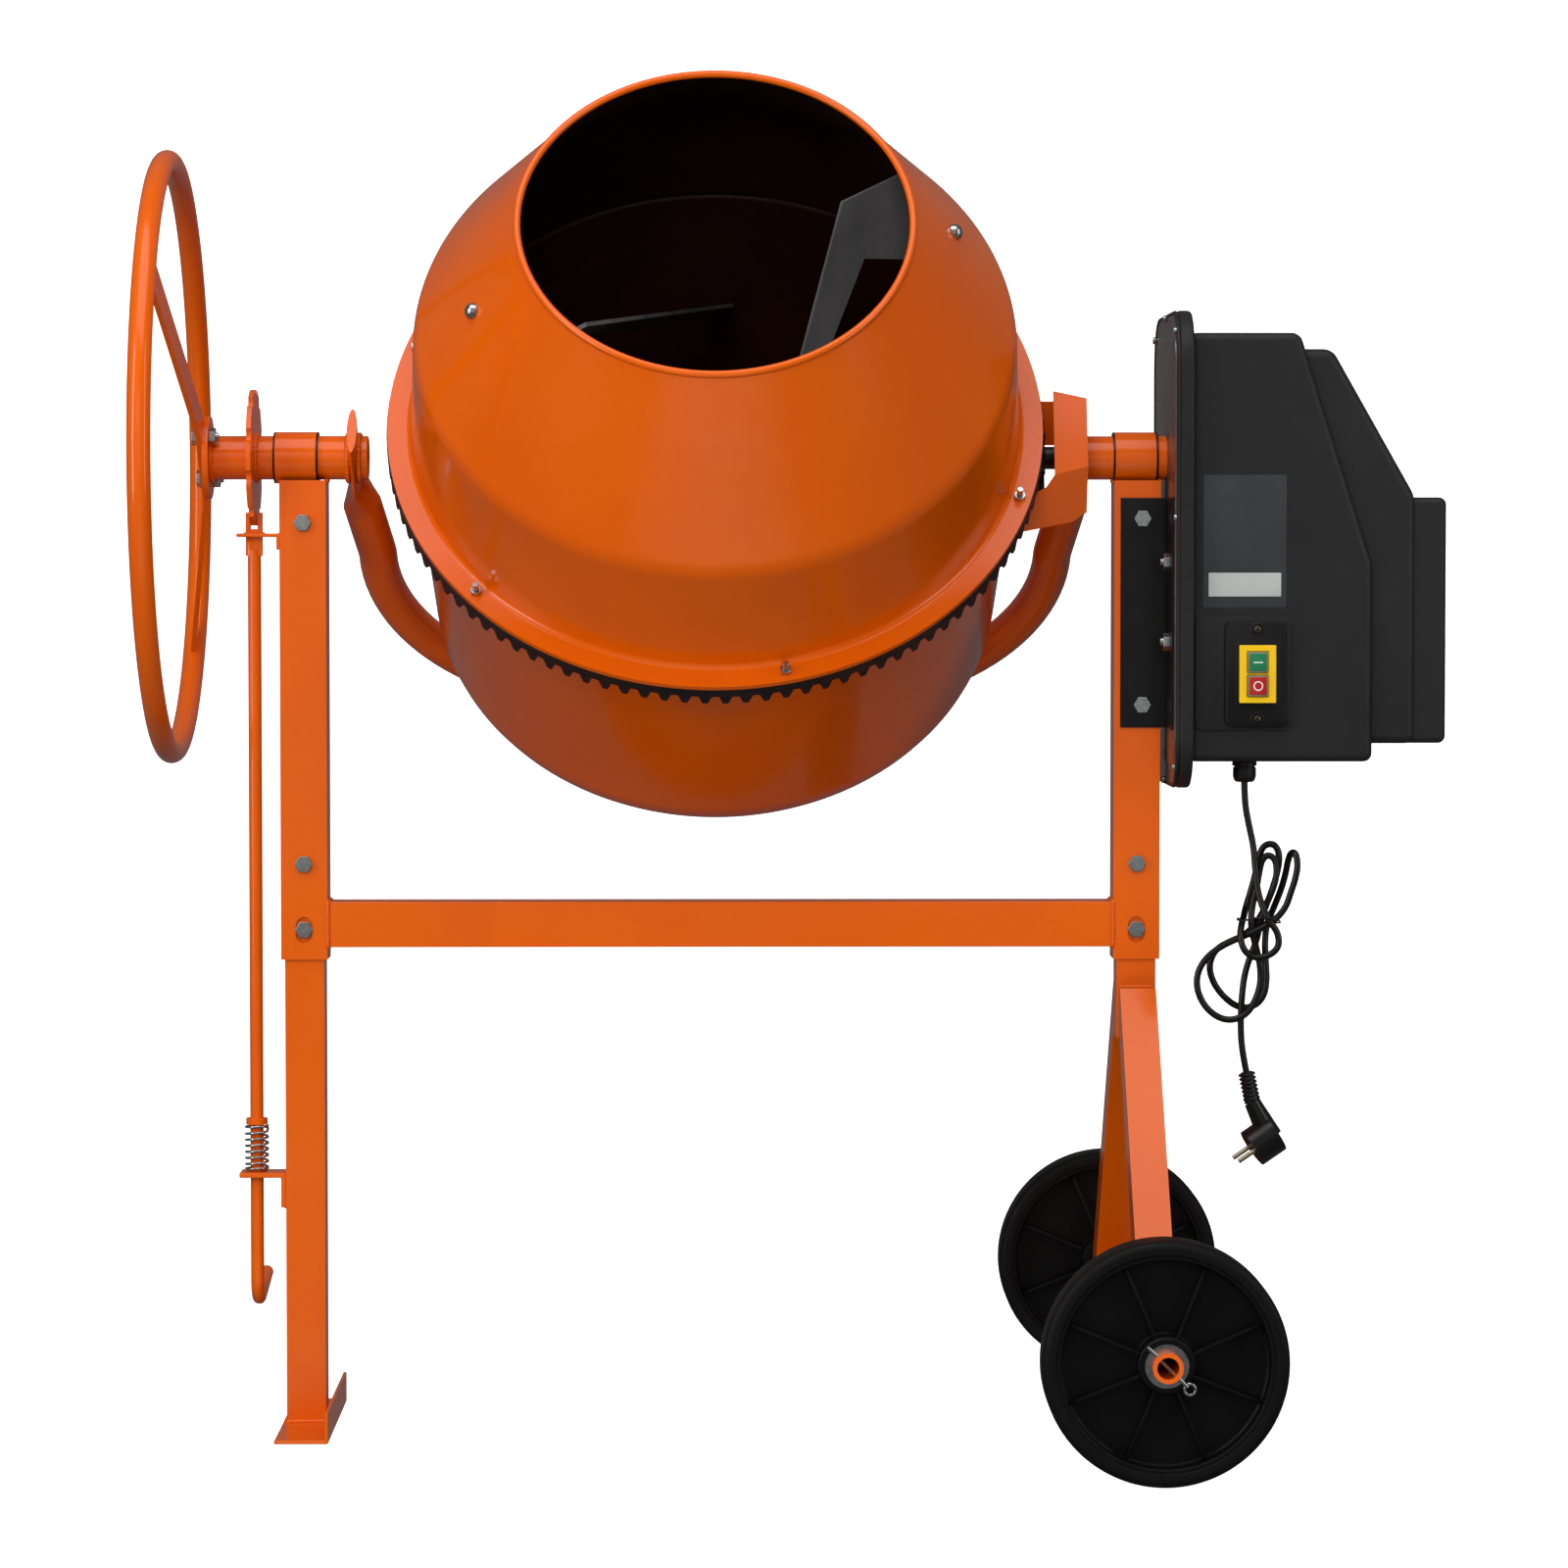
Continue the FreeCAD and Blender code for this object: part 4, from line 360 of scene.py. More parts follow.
def softened(node, name, body, slot, material, edge_mm=1.2, segments=2, limit=35):
    """The solid's own shape with rounded edges and its real finish."""
    piece = skin_of(node)
    modify(piece, "BEVEL", width=edge_mm * METRE, segments=segments, limit_method="ANGLE",
           angle_limit=math.radians(limit), harden_normals=False, use_clamp_overlap=True)
    settle(piece, name, body, slot, material, replaces=(node,), angle=38)
    return modify(piece, "WEIGHTED_NORMAL", keep_sharp=True)


def chain(name, points, closed=False):
    """A line of vertices through the points, drawn by extruding one vertex again and again."""
    bpy.ops.object.select_all(action="DESELECT")
    bpy.ops.mesh.primitive_plane_add(size=0.001, location=(0, 0, 0))
    piece = bpy.context.object
    piece.name = name
    bpy.ops.object.mode_set(mode="EDIT")
    bpy.ops.mesh.select_all(action="SELECT")
    bpy.ops.mesh.merge(type="CENTER")
    bpy.ops.transform.translate(value=points[0])
    for before, after in zip(points, points[1:]):
        step = Vector(after) - Vector(before)
        bpy.ops.mesh.extrude_region_move(TRANSFORM_OT_translate={"value": step})
    if closed:
        bpy.ops.mesh.select_all(action="SELECT")
        bpy.ops.mesh.edge_face_add()
    bpy.ops.object.mode_set(mode="OBJECT")
    return piece


def turned(name, profile, steps=96):
    """A solid of revolution from radius and height points in millimetres."""
    piece = chain(name, [(radius * METRE, 0, height * METRE) for radius, height in profile + [profile[0]]])
    return edit(piece,
                (bpy.ops.mesh.spin, {"steps": steps, "angle": 2 * math.pi, "center": (0, 0, 0),
                                     "axis": (0, 0, 1), "use_auto_merge": True}),
                (bpy.ops.mesh.select_all, {"action": "SELECT"}),
                (bpy.ops.mesh.remove_doubles, {"threshold": 2e-6}),
                (bpy.ops.mesh.normals_make_consistent, {"inside": False}))


def arc(centre, radius, first, last, count):
    """Profile points along an arc, angles in degrees."""
    return [(centre[0] + radius * math.cos(math.radians(first + (last - first) * k / count)),
             centre[1] + radius * math.sin(math.radians(first + (last - first) * k / count)))
            for k in range(count + 1)]


def plate(name, outline, thickness):
    """A flat sheet: an outline in millimetres, filled and extruded along a direction."""
    piece = chain(name, [Vector(point) * METRE for point in outline], closed=True)
    return edit(piece,
                (bpy.ops.mesh.extrude_region_move,
                 {"TRANSFORM_OT_translate": {"value": Vector(thickness) * METRE}}),
                (bpy.ops.mesh.select_all, {"action": "SELECT"}),
                (bpy.ops.mesh.normals_make_consistent, {"inside": False}))


def slab(name, x, y, z, edge_mm=0.8, segments=3):
    """A block between pairs of drum-frame millimetres, with rounded edges."""
    bpy.ops.mesh.primitive_cube_add(size=1, location=(0, 0, 0))
    piece = bpy.context.object
    piece.name = name
    middle = place(sum(x) / 2, sum(y) / 2, sum(z) / 2)
    stretch = Matrix.Diagonal((*(abs(pair[1] - pair[0]) * METRE for pair in (x, y, z)), 1))
    put(piece, Matrix.Translation(middle) @ stretch)
    return modify(piece, "BEVEL", width=edge_mm * METRE, segments=segments, limit_method="ANGLE")


def rounded_front(name, x, z, y, depth, corner, edge_mm):
    """A plate facing the front with round corners and a softened front edge."""
    outline = []
    for centre_x, centre_z, first in ((x[1] - corner, z[1] - corner, 0), (x[0] + corner, z[1] - corner, 90),
                                      (x[0] + corner, z[0] + corner, 180), (x[1] - corner, z[0] + corner, 270)):
        outline += [(px, y, pz) for px, pz in arc((centre_x, centre_z), corner, first, first + 90, 6)]
    piece = put(plate(name, outline, (0, depth, 0)), STAND)
    return modify(piece, "BEVEL", width=edge_mm * METRE, segments=2, limit_method="ANGLE",
                  angle_limit=math.radians(60))


def tube_along(name, points, radius_mm, cyclic=False, radii=None, resolution=4, order=None):
    """A round bar along points in metres, as a curve; radii scales its thickness point by point."""
    curve = bpy.data.curves.new(name, "CURVE")
    curve.dimensions = "3D"
    spline = curve.splines.new("NURBS" if order else "POLY")
    spline.points.add(len(points) - 1)
    for point, where in zip(spline.points, points):
        point.co = (*where, 1)
    if radii:
        for point, value in zip(spline.points, radii):
            point.radius = value
    spline.use_cyclic_u = cyclic
    if order:
        spline.order_u = order
        spline.use_endpoint_u = True
        spline.resolution_u = 12
    curve.bevel_depth = radius_mm * METRE
    curve.bevel_resolution = resolution
    curve.use_fill_caps = True
    piece = bpy.data.objects.new(name, curve)
    bpy.context.scene.collection.objects.link(piece)
    return piece


def as_mesh(piece):
    select_only(piece)
    bpy.ops.object.convert(target="MESH")
    return bpy.context.object


def joined(pieces):
    """Several meshes made one, the first giving its name."""
    bpy.ops.object.select_all(action="DESELECT")
    for piece in pieces:
        piece.select_set(True)
    bpy.context.view_layer.objects.active = pieces[0]
    bpy.ops.object.join()
    return pieces[0]


BEAD_STEP = 1.6
weld_dice = random.Random(7)


def weld_bead(corners, size_mm=2.6, cyclic=True):
    """Overlapping ripples of weld along a line of points, in metres."""
    path = list(corners) + ([corners[0]] if cyclic else [])
    points = []
    for first, last in zip(path, path[1:]):
        count = max(1, round((last - first).length / (BEAD_STEP * METRE)))
        points += [first.lerp(last, k / count) for k in range(count)]
    if not cyclic:
        points.append(path[-1])
    radii = [0.82 + 0.26 * (k % 3) / 2 + weld_dice.uniform(-0.08, 0.1) for k in range(len(points))]
    return as_mesh(tube_along("weld", points, size_mm, cyclic, radii, resolution=1))


def ring_points(matrix, radius_mm, count=48):
    """Points of a circle about the matrix's own z axis."""
    radius = radius_mm * METRE
    return [matrix @ Vector((radius * math.cos(angle), radius * math.sin(angle), 0))
            for angle in (2 * math.pi * k / count for k in range(count))]


# %% [markdown]
# ## The stand
# Square tube is rolled, so its long edges are round, about three millimetres on the
# outside. Flat bar and bent sheet keep sharper edges. Everything here starts from its solid.

# %% Square tube, bars and sheet
TUBE_EDGE = 2.6
for node in ("left_post", "right_post", "cross_beam", "left_leg", "right_leg_stub", "front_axle_leg",
             "rear_axle_leg"):
    softened(node, node + "_tube", "frame", "orange_paint", powder_paint, TUBE_EDGE, 3)
for node, edge in (("foot_plate", 1.2), ("latch_guide", 0.8), ("spring_bracket", 1.0), ("wheel_axle", 0.5),
                   ("left_bearing_sleeve", 0.8), ("right_bearing_sleeve", 0.8)):
    softened(node, node + "_steel", "frame", "orange_paint", powder_paint, edge)
softened("motor_bracket", "motor_bracket_sheet", "frame", "black_paint", black_enamel, 0.9)
softened("trunnion_washers", "trunnion_washer_rings", "frame", "black_paint", black_enamel, 0.3)
for node, body, edge in (("left_trunnion", "yoke", 0.8), ("right_trunnion", "yoke", 0.8),
                         ("pinion_guard", "yoke", 0.8), ("drum_hub", "yoke", 1.0),
                         ("handwheel_spokes", "yoke", 0.9), ("handwheel_flange", "yoke", 0.9),
                         ("locking_disc", "yoke", 0.8), ("drum_spindle", "drum", 1.0)):
    softened(node, node + "_steel", body, "orange_paint", powder_paint, edge)
softened("mixing_blades", "mixing_blade_plates", "drum", "dark_steel", rolled_steel, 0.6)
softened("ring_gear", "ring_gear_casting", "drum", "gear_iron", cast_iron, 0.5, 1)
softened("pinion", "pinion_casting", "drive", "gear_iron", cast_iron, 0.5, 1)
softened("driven_pulley", "driven_pulley_casting", "drive", "gear_iron", cast_iron, 0.5, 1)
softened("motor_pulley", "motor_pulley_casting", "rotor", "gear_iron", cast_iron, 0.5, 1)
print("stand pieces done")

# %% Fastenings
for node, body, slot, material in (
        ("frame_bolts", "frame", "yellow_zinc", zinc), ("flange_bolts", "drum", "yellow_zinc", zinc),
        ("blade_bolts", "drum", "yellow_zinc", zinc), ("handwheel_bolts", "yoke", "yellow_zinc", zinc),
        ("axle_washers_and_pins", "frame", "zinc", zinc), ("housing_screws", "frame", "zinc", zinc)):
    softened(node, node + "_set", body, slot, material, 0.5, 2)

# %% [markdown]
# ## The drum
# Two shells spun from sheet meet at a bolted flange, with the crown gear under it. A
# profile turned in one go keeps the reflections unbroken, which a tessellated solid can't.

# %% Drum shells
SHEET = 2.5


def offset_profile(points, distance):
    """The other side of a sheet: each point moved square to the profile."""
    moved = []
    for index, (radius, height) in enumerate(points):
        before = points[max(index - 1, 0)]
        after = points[min(index + 1, len(points) - 1)]
        run, rise = after[0] - before[0], after[1] - before[1]
        length = math.hypot(run, rise)
        moved.append((radius + rise / length * distance, height - run / length * distance))
    return moved


def fillet(before, corner, after, radius, count=8):
    """Points of the arc that rounds a corner of a profile."""
    first = (Vector(before) - Vector(corner)).normalized()
    last = (Vector(after) - Vector(corner)).normalized()
    half = math.acos(max(-1, min(1, first.dot(last)))) / 2
    reach = radius / math.tan(half)
    middle = Vector(corner) + (first + last).normalized() * (radius / math.sin(half))
    start = Vector(corner) + first * reach - middle
    end = Vector(corner) + last * reach - middle
    turn = start.angle_signed(end)
    points = []
    for k in range(count + 1):
        angle = -turn * k / count
        points.append(tuple(middle + Matrix.Rotation(angle, 2) @ start))
    return points


def shell(name, profile, sign):
    """A thin wall turned from its outer profile, painted orange outside and darkened inside as painted shade."""
    inner = offset_profile(profile, sign * SHEET)
    piece = turned(name, profile + inner[::-1], steps=160)
    piece.data.materials.append(powder_paint)
    # The second slot darkens the inner faces, as painted shade for the inside of the drum.
    piece.data.materials.append(inside_painted_shade)
    inside = {(round(radius, 2), round(height, 2)) for radius, height in inner}
    count = 0
    for face in piece.data.polygons:
        spots = [piece.data.vertices[index].co / METRE for index in face.vertices]
        keys = [(round(math.hypot(spot.x, spot.y), 2), round(spot.z, 2)) for spot in spots]
        if all(any(abs(key[0] - r) < 0.03 and abs(key[1] - h) < 0.03 for r, h in inside) for key in keys):
            face.material_index = 1
            count += 1
    print(name, "inside faces", count)
    return put(piece, DRUM)


FLANGE = 52.5
FLANGE_RADIUS, NECK_RADIUS = 315, 292
CONE_SHOULDER, CONE_MOUTH = (284, 188), (182.75, 347)
LIP_RADIUS, LIP_WIRE = 181.5, 3.5
BARREL_FOOT_RADIUS, BARREL_FOOT, SPINDLE_HOLE = 277, -250, 15
cone_profile = ([(FLANGE_RADIUS, FLANGE + SHEET)]
                + fillet((FLANGE_RADIUS, 55), (NECK_RADIUS, 55), CONE_SHOULDER, 6, 5)
                + fillet((NECK_RADIUS, 55), CONE_SHOULDER, CONE_MOUTH, 45, 10) + [CONE_MOUTH])
cone_piece = shell("cone", cone_profile, -1)
bpy.ops.mesh.primitive_torus_add(major_radius=LIP_RADIUS * METRE, minor_radius=LIP_WIRE * METRE,
                                 major_segments=160, minor_segments=16,
                                 location=(0, 0, CONE_MOUTH[1] * METRE))
rolled_lip = bpy.context.object
bpy.ops.object.transform_apply()
rolled_lip.data.materials.append(powder_paint)
put(rolled_lip, DRUM)
cone_piece = joined([cone_piece, rolled_lip])
settle(cone_piece, "drum_cone_shell", "drum", "orange_paint", replaces=("drum_cone",), angle=40)

barrel_corner = (BARREL_FOOT_RADIUS, BARREL_FOOT)
barrel_profile = ([(FLANGE_RADIUS, FLANGE - SHEET)]
                  + fillet((FLANGE_RADIUS, 50), (NECK_RADIUS, 50), barrel_corner, 3.5, 5)
                  + fillet((NECK_RADIUS, 50), barrel_corner, (SPINDLE_HOLE, BARREL_FOOT), 60, 10)
                  + [(SPINDLE_HOLE + 0.1, BARREL_FOOT)])
barrel_piece = shell("barrel", barrel_profile, 1)
settle(barrel_piece, "drum_barrel_shell", "drum", "orange_paint", replaces=("drum_barrel",), angle=40)

# %% Handwheel rim and yoke
HAND_RIM_RADIUS, HAND_RIM_TUBE, HAND_RIM_X = 285, 11.2, -527
bpy.ops.mesh.primitive_torus_add(major_radius=HAND_RIM_RADIUS * METRE, minor_radius=HAND_RIM_TUBE * METRE,
                                 major_segments=144, minor_segments=20, location=(0, 0, 0),
                                 rotation=(0, math.pi / 2, 0))
hand_rim = bpy.context.object
bpy.ops.object.transform_apply()
put(hand_rim, Matrix.Translation(place(HAND_RIM_X, 0, TILT_HEIGHT)))
settle(hand_rim, "handwheel_rim_tube", "yoke", "orange_paint", powder_paint, replaces=("handwheel_rim",))
softened("yoke_tube", "yoke_bent_tube", "yoke", "orange_paint", powder_paint, 0.6, 2, 50)

# %% [markdown]
# ## Wheels
# Each wheel is one moulding with eight ribs on each side of a thin web, and a solid rubber
# tyre pressed over its rim.

# %% Wheels
RIGHT_POST = 408.5
WHEEL_HEIGHT = 113
WHEEL_Y = 350
RIBS = 8
tyre_profile = (arc((105, -14.5), 8, 0, -90, 6)[::-1] + arc((105, 14.5), 8, 0, 90, 6)
                + [(100.5, 22.0), (99.2, 20.5), (99.2, -20.5), (100.5, -22.0)])
wheel_profile = [(14.3, -24.5), (16, -25), (24.5, -25), (26, -23.5), (26.6, -4.5), (28, -3), (93, -3),
                 (95, -4.5), (95.6, -20), (96.6, -21), (99.4, -21), (99.4, 21), (96.6, 21), (95.6, 20),
                 (95, 4.5), (93, 3), (28, 3), (26.6, 4.5), (26, 23.5), (24.5, 25), (16, 25), (14.3, 24.5)]
for node, y in (("front_wheel", -WHEEL_Y), ("rear_wheel", WHEEL_Y)):
    wheel_place = facing_front(RIGHT_POST, y, WHEEL_HEIGHT)
    moulding = turned(node + "_moulding", wheel_profile, steps=96)
    ribs = []
    for k in range(RIBS):
        rib = plate("rib", [(25, -1.8, -21), (97, -1.4, -12), (97, -1.4, 12), (25, -1.8, 21)], (0, 3.4, 0))
        modify(rib, "BEVEL", width=0.7 * METRE, segments=2, limit_method="ANGLE")
        ribs.append(put(rib, Matrix.Rotation(math.radians(360 / RIBS * (k + 0.5)), 4, "Z")))
    moulding = put(joined([moulding] + ribs), wheel_place)
    settle(moulding, node + "_moulding", node, "wheel_plastic", wheel_plastic, replaces=(node,), angle=32)
    tyre = put(turned(node + "_tyre", tyre_profile, steps=128), wheel_place)
    settle(tyre, node + "_tyre", node, "wheel_plastic", tyre_rubber, angle=40)
print("wheels done")

# %% [markdown]
# ## Drive housing and switch
# The cover is a vacuum-thin moulding whose every edge is round. A film label and a switch
# sit on its flat front. The label's print is left out, so it is a plain smoked film with a
# plain pale panel.

# %% Housing
COVER_FRONT = -111
PLATE_X = 438
COVER_LOW, COVER_HIGH, COVER_HALF, COVER_CORNER = 624, 1080, 130, 50


def rim_outline(x, inset, steps=10):
    """The housing's long rounded outline, seen along X, as points in drum-frame millimetres."""
    points = []
    corner = COVER_CORNER - inset
    low, high, half = COVER_LOW + inset, COVER_HIGH - inset, COVER_HALF - inset
    for y, z, first in ((half - corner, high - corner, 0), (corner - half, high - corner, 90),
                        (corner - half, low + corner, 180), (half - corner, low + corner, 270)):
        points += [(x, py, pz) for py, pz in arc((y, z), corner, first, first + 90, steps)]
    return points


def stage_of_cover(outline, half_width, edge_mm):
    """One stepped stage of the cover: a side view in x and z, as wide as the housing there."""
    piece = put(plate("stage", [(x, -half_width, z) for x, z in outline], (0, 2 * half_width, 0)), STAND)
    modify(piece, "BEVEL", width=edge_mm * METRE, segments=5, limit_method="ANGLE", angle_limit=math.radians(15))
    return piece


rim = put(plate("cover_rim", rim_outline(PLATE_X + 2, 0), (14, 0, 0)), STAND)
modify(rim, "BEVEL", width=3.4 * METRE, segments=4, limit_method="ANGLE", angle_limit=math.radians(40))
lip_line = [place(*point) for point in rim_outline(PLATE_X + 0.8, 2.2)]
lip = as_mesh(tube_along("cover_lip", lip_line, 2.2, cyclic=True, resolution=3))
body_stage = stage_of_cover([(450, 650), (626, 650), (626, 838), (556, 1058), (450, 1058)], 111, 8)
back_stage = stage_of_cover([(450, 667), (668, 667), (668, 902), (588, 1043), (450, 1043)], 101, 9)
bulge_stage = stage_of_cover([(450, 667.2), (698, 667.2), (698, 902), (450, 902)], 96, 7)
cover = settle(joined([rim, lip, body_stage, back_stage, bulge_stage]), "drive_cover_moulding", "frame",
               "cover_plastic", cover_plastic, replaces=("drive_cover",), angle=40)
modify(cover, "WEIGHTED_NORMAL", keep_sharp=True)
plate_sheet = put(plate("back_plate", rim_outline(PLATE_X, 3), (2.2, 0, 0)), STAND)
press = put(plate("plate_press", rim_outline(PLATE_X - 0.9, 22), (2, 0, 0)), STAND)
modify(press, "BEVEL", width=0.8 * METRE, segments=2, limit_method="ANGLE", angle_limit=math.radians(60))
settle(joined([plate_sheet, press]), "back_plate_sheet", "frame", "zinc", galvanised, replaces=("back_plate",),
       angle=35)
label = rounded_front("label_film", (464, 543), (797, 923), COVER_FRONT - 0.3, 0.6, 1.5, 0.1)
settle(label, "label_film", "frame", "cover_plastic", plate_print)
pale_panel = rounded_front("label_panel", (469, 538), (807.5, 830), COVER_FRONT - 0.5, 0.4, 0.8, 0.08)
settle(pale_panel, "label_panel", "frame", "cover_plastic", shaded_film)
pad = rounded_front("switch_pad", (456, 548.5), (680, 788.5), COVER_FRONT - 2.2, 3, 7, 1.1)
settle(pad, "switch_pad", "frame", "cover_plastic", cover_plastic)

# %% Switch
SWITCH_X = 514.5
SWITCH_Z = 734
SWITCH_FRONT = -122
BEZEL_FRONT = -128
box = rounded_front("switch_housing", (SWITCH_X - 30.5, SWITCH_X + 30.5), (SWITCH_Z - 50, SWITCH_Z + 50),
                    SWITCH_FRONT, 11, 6, 1.6)
lip = rounded_front("switch_lip", (SWITCH_X - 21.5, SWITCH_X + 21.5), (SWITCH_Z - 32, SWITCH_Z + 32),
                    SWITCH_FRONT - 1.2, 2.4, 2.5, 0.5)
settle(joined([box, lip]), "switch_housing", "frame", "black_plastic", switch_plastic, replaces=("switch_box",))
softened("switch_bezel", "switch_bezel_frame", "frame", "yellow_plastic", yellow_plastic, 0.9, 3)
for z in (SWITCH_Z - 42.5, SWITCH_Z + 42.5):
    well = put(turned("screw_well", arc((5.4, 0.3), 0.9, 0, 360, 10)[:-1], steps=32),
               facing_front(SWITCH_X, SWITCH_FRONT, z))
    settle(well, "screw_well", "frame", "black_plastic", switch_plastic)
    head = put(turned("screw_head", [(0, 0), (3.2, 0), (3.0, 0.9), (1.6, 1.5), (0, 1.6)], steps=24),
               facing_front(SWITCH_X, SWITCH_FRONT - 1.4, z))
    slits = [slab("slit", (SWITCH_X - w, SWITCH_X + w), (SWITCH_FRONT - 3.3, SWITCH_FRONT - 2.6),
                  (z - h, z + h), 0.1, 1) for w, h in ((2.0, 0.45), (0.45, 2.0))]
    settle(head, "screw_head", "frame", "zinc", brass_screw)
    settle(joined(slits), "screw_cross", "frame", "black_plastic", switch_plastic)
for node, slot, offset, proud, material in (
        ("start_button", "green_plastic", 11.2, 2.5, green_plastic),
        ("stop_button", "red_plastic", -11.2, 4, red_plastic)):
    front = BEZEL_FRONT - proud
    z = SWITCH_Z + offset
    cap = slab(node + "_cap", (SWITCH_X - 8.3, SWITCH_X + 8.3), (front, SWITCH_FRONT + 2), (z - 8.5, z + 8.5), 0.9)
    settle(cap, node + "_cap", node, slot, material, replaces=(node,))
    skirt = slab(node + "_skirt", (SWITCH_X - 9.7, SWITCH_X + 9.7), (front + 1.0, SWITCH_FRONT + 2.5),
                 (z - 10, z + 10), 0.7)
    settle(skirt, node + "_skirt", node, slot, smoked_cover)
    if node == "start_button":
        mark = slab("start_bar", (SWITCH_X - 4.6, SWITCH_X + 4.6), (front - 0.12, front + 0.2),
                    (z - 0.55, z + 0.55), 0.05, 1)
    else:
        mark = put(turned("stop_ring", [(3.5, 0), (4.6, 0), (4.6, 0.3), (3.5, 0.3)], steps=48),
                   facing_front(SWITCH_X, front + 0.18, z))
    settle(mark, node + "_mark", node, slot, white_print)
print("switch done")

# %% [markdown]
# ## The lead
# One rubber-stiff lead drops from the gland, takes a loose turn round its own tied loops and
# hangs on to the plug. Its points follow the real loops, a cord's width apart where they
# cross, and the spline smooths them.

# %% Gland and plug
GLAND_X, GLAND_Y, GLAND_Z = 508, -70, 629
GLAND_RIBS = 12
gland_place = Matrix.Translation(place(GLAND_X, GLAND_Y, GLAND_Z))
collar = turned("gland", [(4, 21.5), (11.6, 21.5), (11.8, 21), (11.8, 16.3), (11.3, 15.8), (9.9, 15.6), (9.9, 14.9),
                          (10.7, 14.3), (10.7, 5), (10.3, 2.6), (9.2, 1), (7.6, 0.2), (3.4, 0.2), (3.4, 8)], steps=48)
ribs = []
for k in range(GLAND_RIBS):
    rib = slab("gland_rib", (0, 1), (0, 1), (0, 1), 0.1, 1)
    rib.data.transform(Matrix.Translation(-place(0.5, 0.5, 0.5)))
    rib.data.transform(Matrix.Diagonal((1.2, 2.2, 9.5, 1)))
    rib_turn = Matrix.Rotation(math.radians(360 / GLAND_RIBS * k), 4, "Z")
    rib.data.transform(rib_turn @ Matrix.Translation((0.0105, 0, 0.0095)))
    ribs.append(rib)
gland = put(joined([collar] + ribs), gland_place)
settle(gland, "cable_gland_nut", "frame", "black_plastic", switch_plastic, replaces=("cable_gland",), angle=40)
plug_piece = softened("plug_body", "plug_moulding", "frame", "black_plastic", cord_pvc, 1.6, 3, 25)
RELIEF_TOP = Vector(place(511, -70, 349.5))
RELIEF_WAY = Vector((3.4, 0.6, -16.5)).normalized()
relief_place = Matrix.Translation(RELIEF_TOP) @ RELIEF_WAY.to_track_quat("Z", "Y").to_matrix().to_4x4()
relief_rings = []
for k in range(7):
    ring = turned("relief_ring", [(2, 0), (7.7, 0), (8.3, 0.6), (8.3, 1.7), (7.7, 2.3), (2, 2.3)], steps=32)
    relief_rings.append(put(ring, relief_place @ Matrix.Translation((0, 0, (1.0 + 4.0 * k) * METRE))))
relief_piece = settle(joined(relief_rings), "plug_relief_rings", "frame", "black_plastic", cord_pvc)

# %% The cord
CORD_ROUTE = [
    (508, -70, 629), (508.3, -70, 609), (512.6, -70.5, 587), (516.8, -72, 568), (518, -76, 548),
    (519.5, -81, 527), (524, -86, 510), (530, -90.5, 497), (538.5, -91.5, 486), (540, -92, 472),
    (530, -92, 463), (516, -92, 461), (506, -91, 468), (502.5, -88, 481), (504.5, -80, 492),
    (508, -68, 499), (511, -56, 507), (516, -51, 521), (521, -52, 540), (524, -53, 557), (529, -54, 568),
    (539, -56, 569), (544, -57, 558), (541, -60, 540), (535, -63, 522), (528, -64, 505), (519, -62, 490),
    (508, -62, 480), (495, -62, 475), (481, -62, 467), (475, -62, 452), (479, -61, 436), (489, -60, 422),
    (503, -60, 411), (518, -60.5, 411), (528.5, -61, 421), (531.5, -60, 437), (530.5, -58, 455),
    (530, -54, 472), (531.5, -52, 490), (538, -54, 506), (545, -57, 524), (549, -63, 541),
    (550.5, -68, 554), (553, -74, 562), (557, -80, 561), (558.5, -82, 549), (556, -82, 536),
    (552, -81.5, 524), (548, -81.5, 511), (540, -81.5, 500), (529, -82, 492), (515, -82, 485),
    (499, -78, 478), (483, -76, 470), (469, -76, 458), (462, -76, 443), (463, -77, 427), (471, -78, 412),
    (484, -80, 402), (498, -81, 400.5), (511, -80, 407), (519.5, -78, 421), (524, -77, 437),
    (523, -77.5, 455), (518.5, -77, 473), (514.5, -73, 489), (515.5, -70, 508), (520, -70, 526),
    (522.5, -69, 541), (525, -69, 554), (531, -70, 559.5), (538, -72, 555), (539.5, -73.5, 542),
    (536.5, -74.5, 529), (531, -75, 516), (526, -74.5, 503), (523, -71.5, 490), (520.5, -66, 475),
    (514.5, -64.5, 460), (509, -67.5, 443), (506.5, -70, 424), (505.4, -70, 404), (505.6, -70, 384),
    (507.6, -70.6, 366), (511, -70, 349.5),
]
power_lead = tube_along("power_lead", [place(*point) for point in CORD_ROUTE], 3.25, order=3, resolution=5)
settle(power_lead, "power_lead", "frame", "cord_sheath", cord_pvc,
       replaces=("cord_upper", "cord_hank", "cord_lower"))
tie = [place(*point) for point in ((505, -93.5, 497), (516, -95.5, 500), (528, -95.5, 500), (540, -90, 497),
                                   (543, -72, 494), (538, -54, 492), (526, -47.5, 493), (512, -47.5, 495),
                                   (503, -58, 497), (501, -78, 497))]
cable_tie = tube_along("cable_tie", tie, 0.9, cyclic=True, resolution=2)
settle(as_mesh(cable_tie), "cable_tie", "frame", "cord_sheath", cord_pvc)
print("lead done")
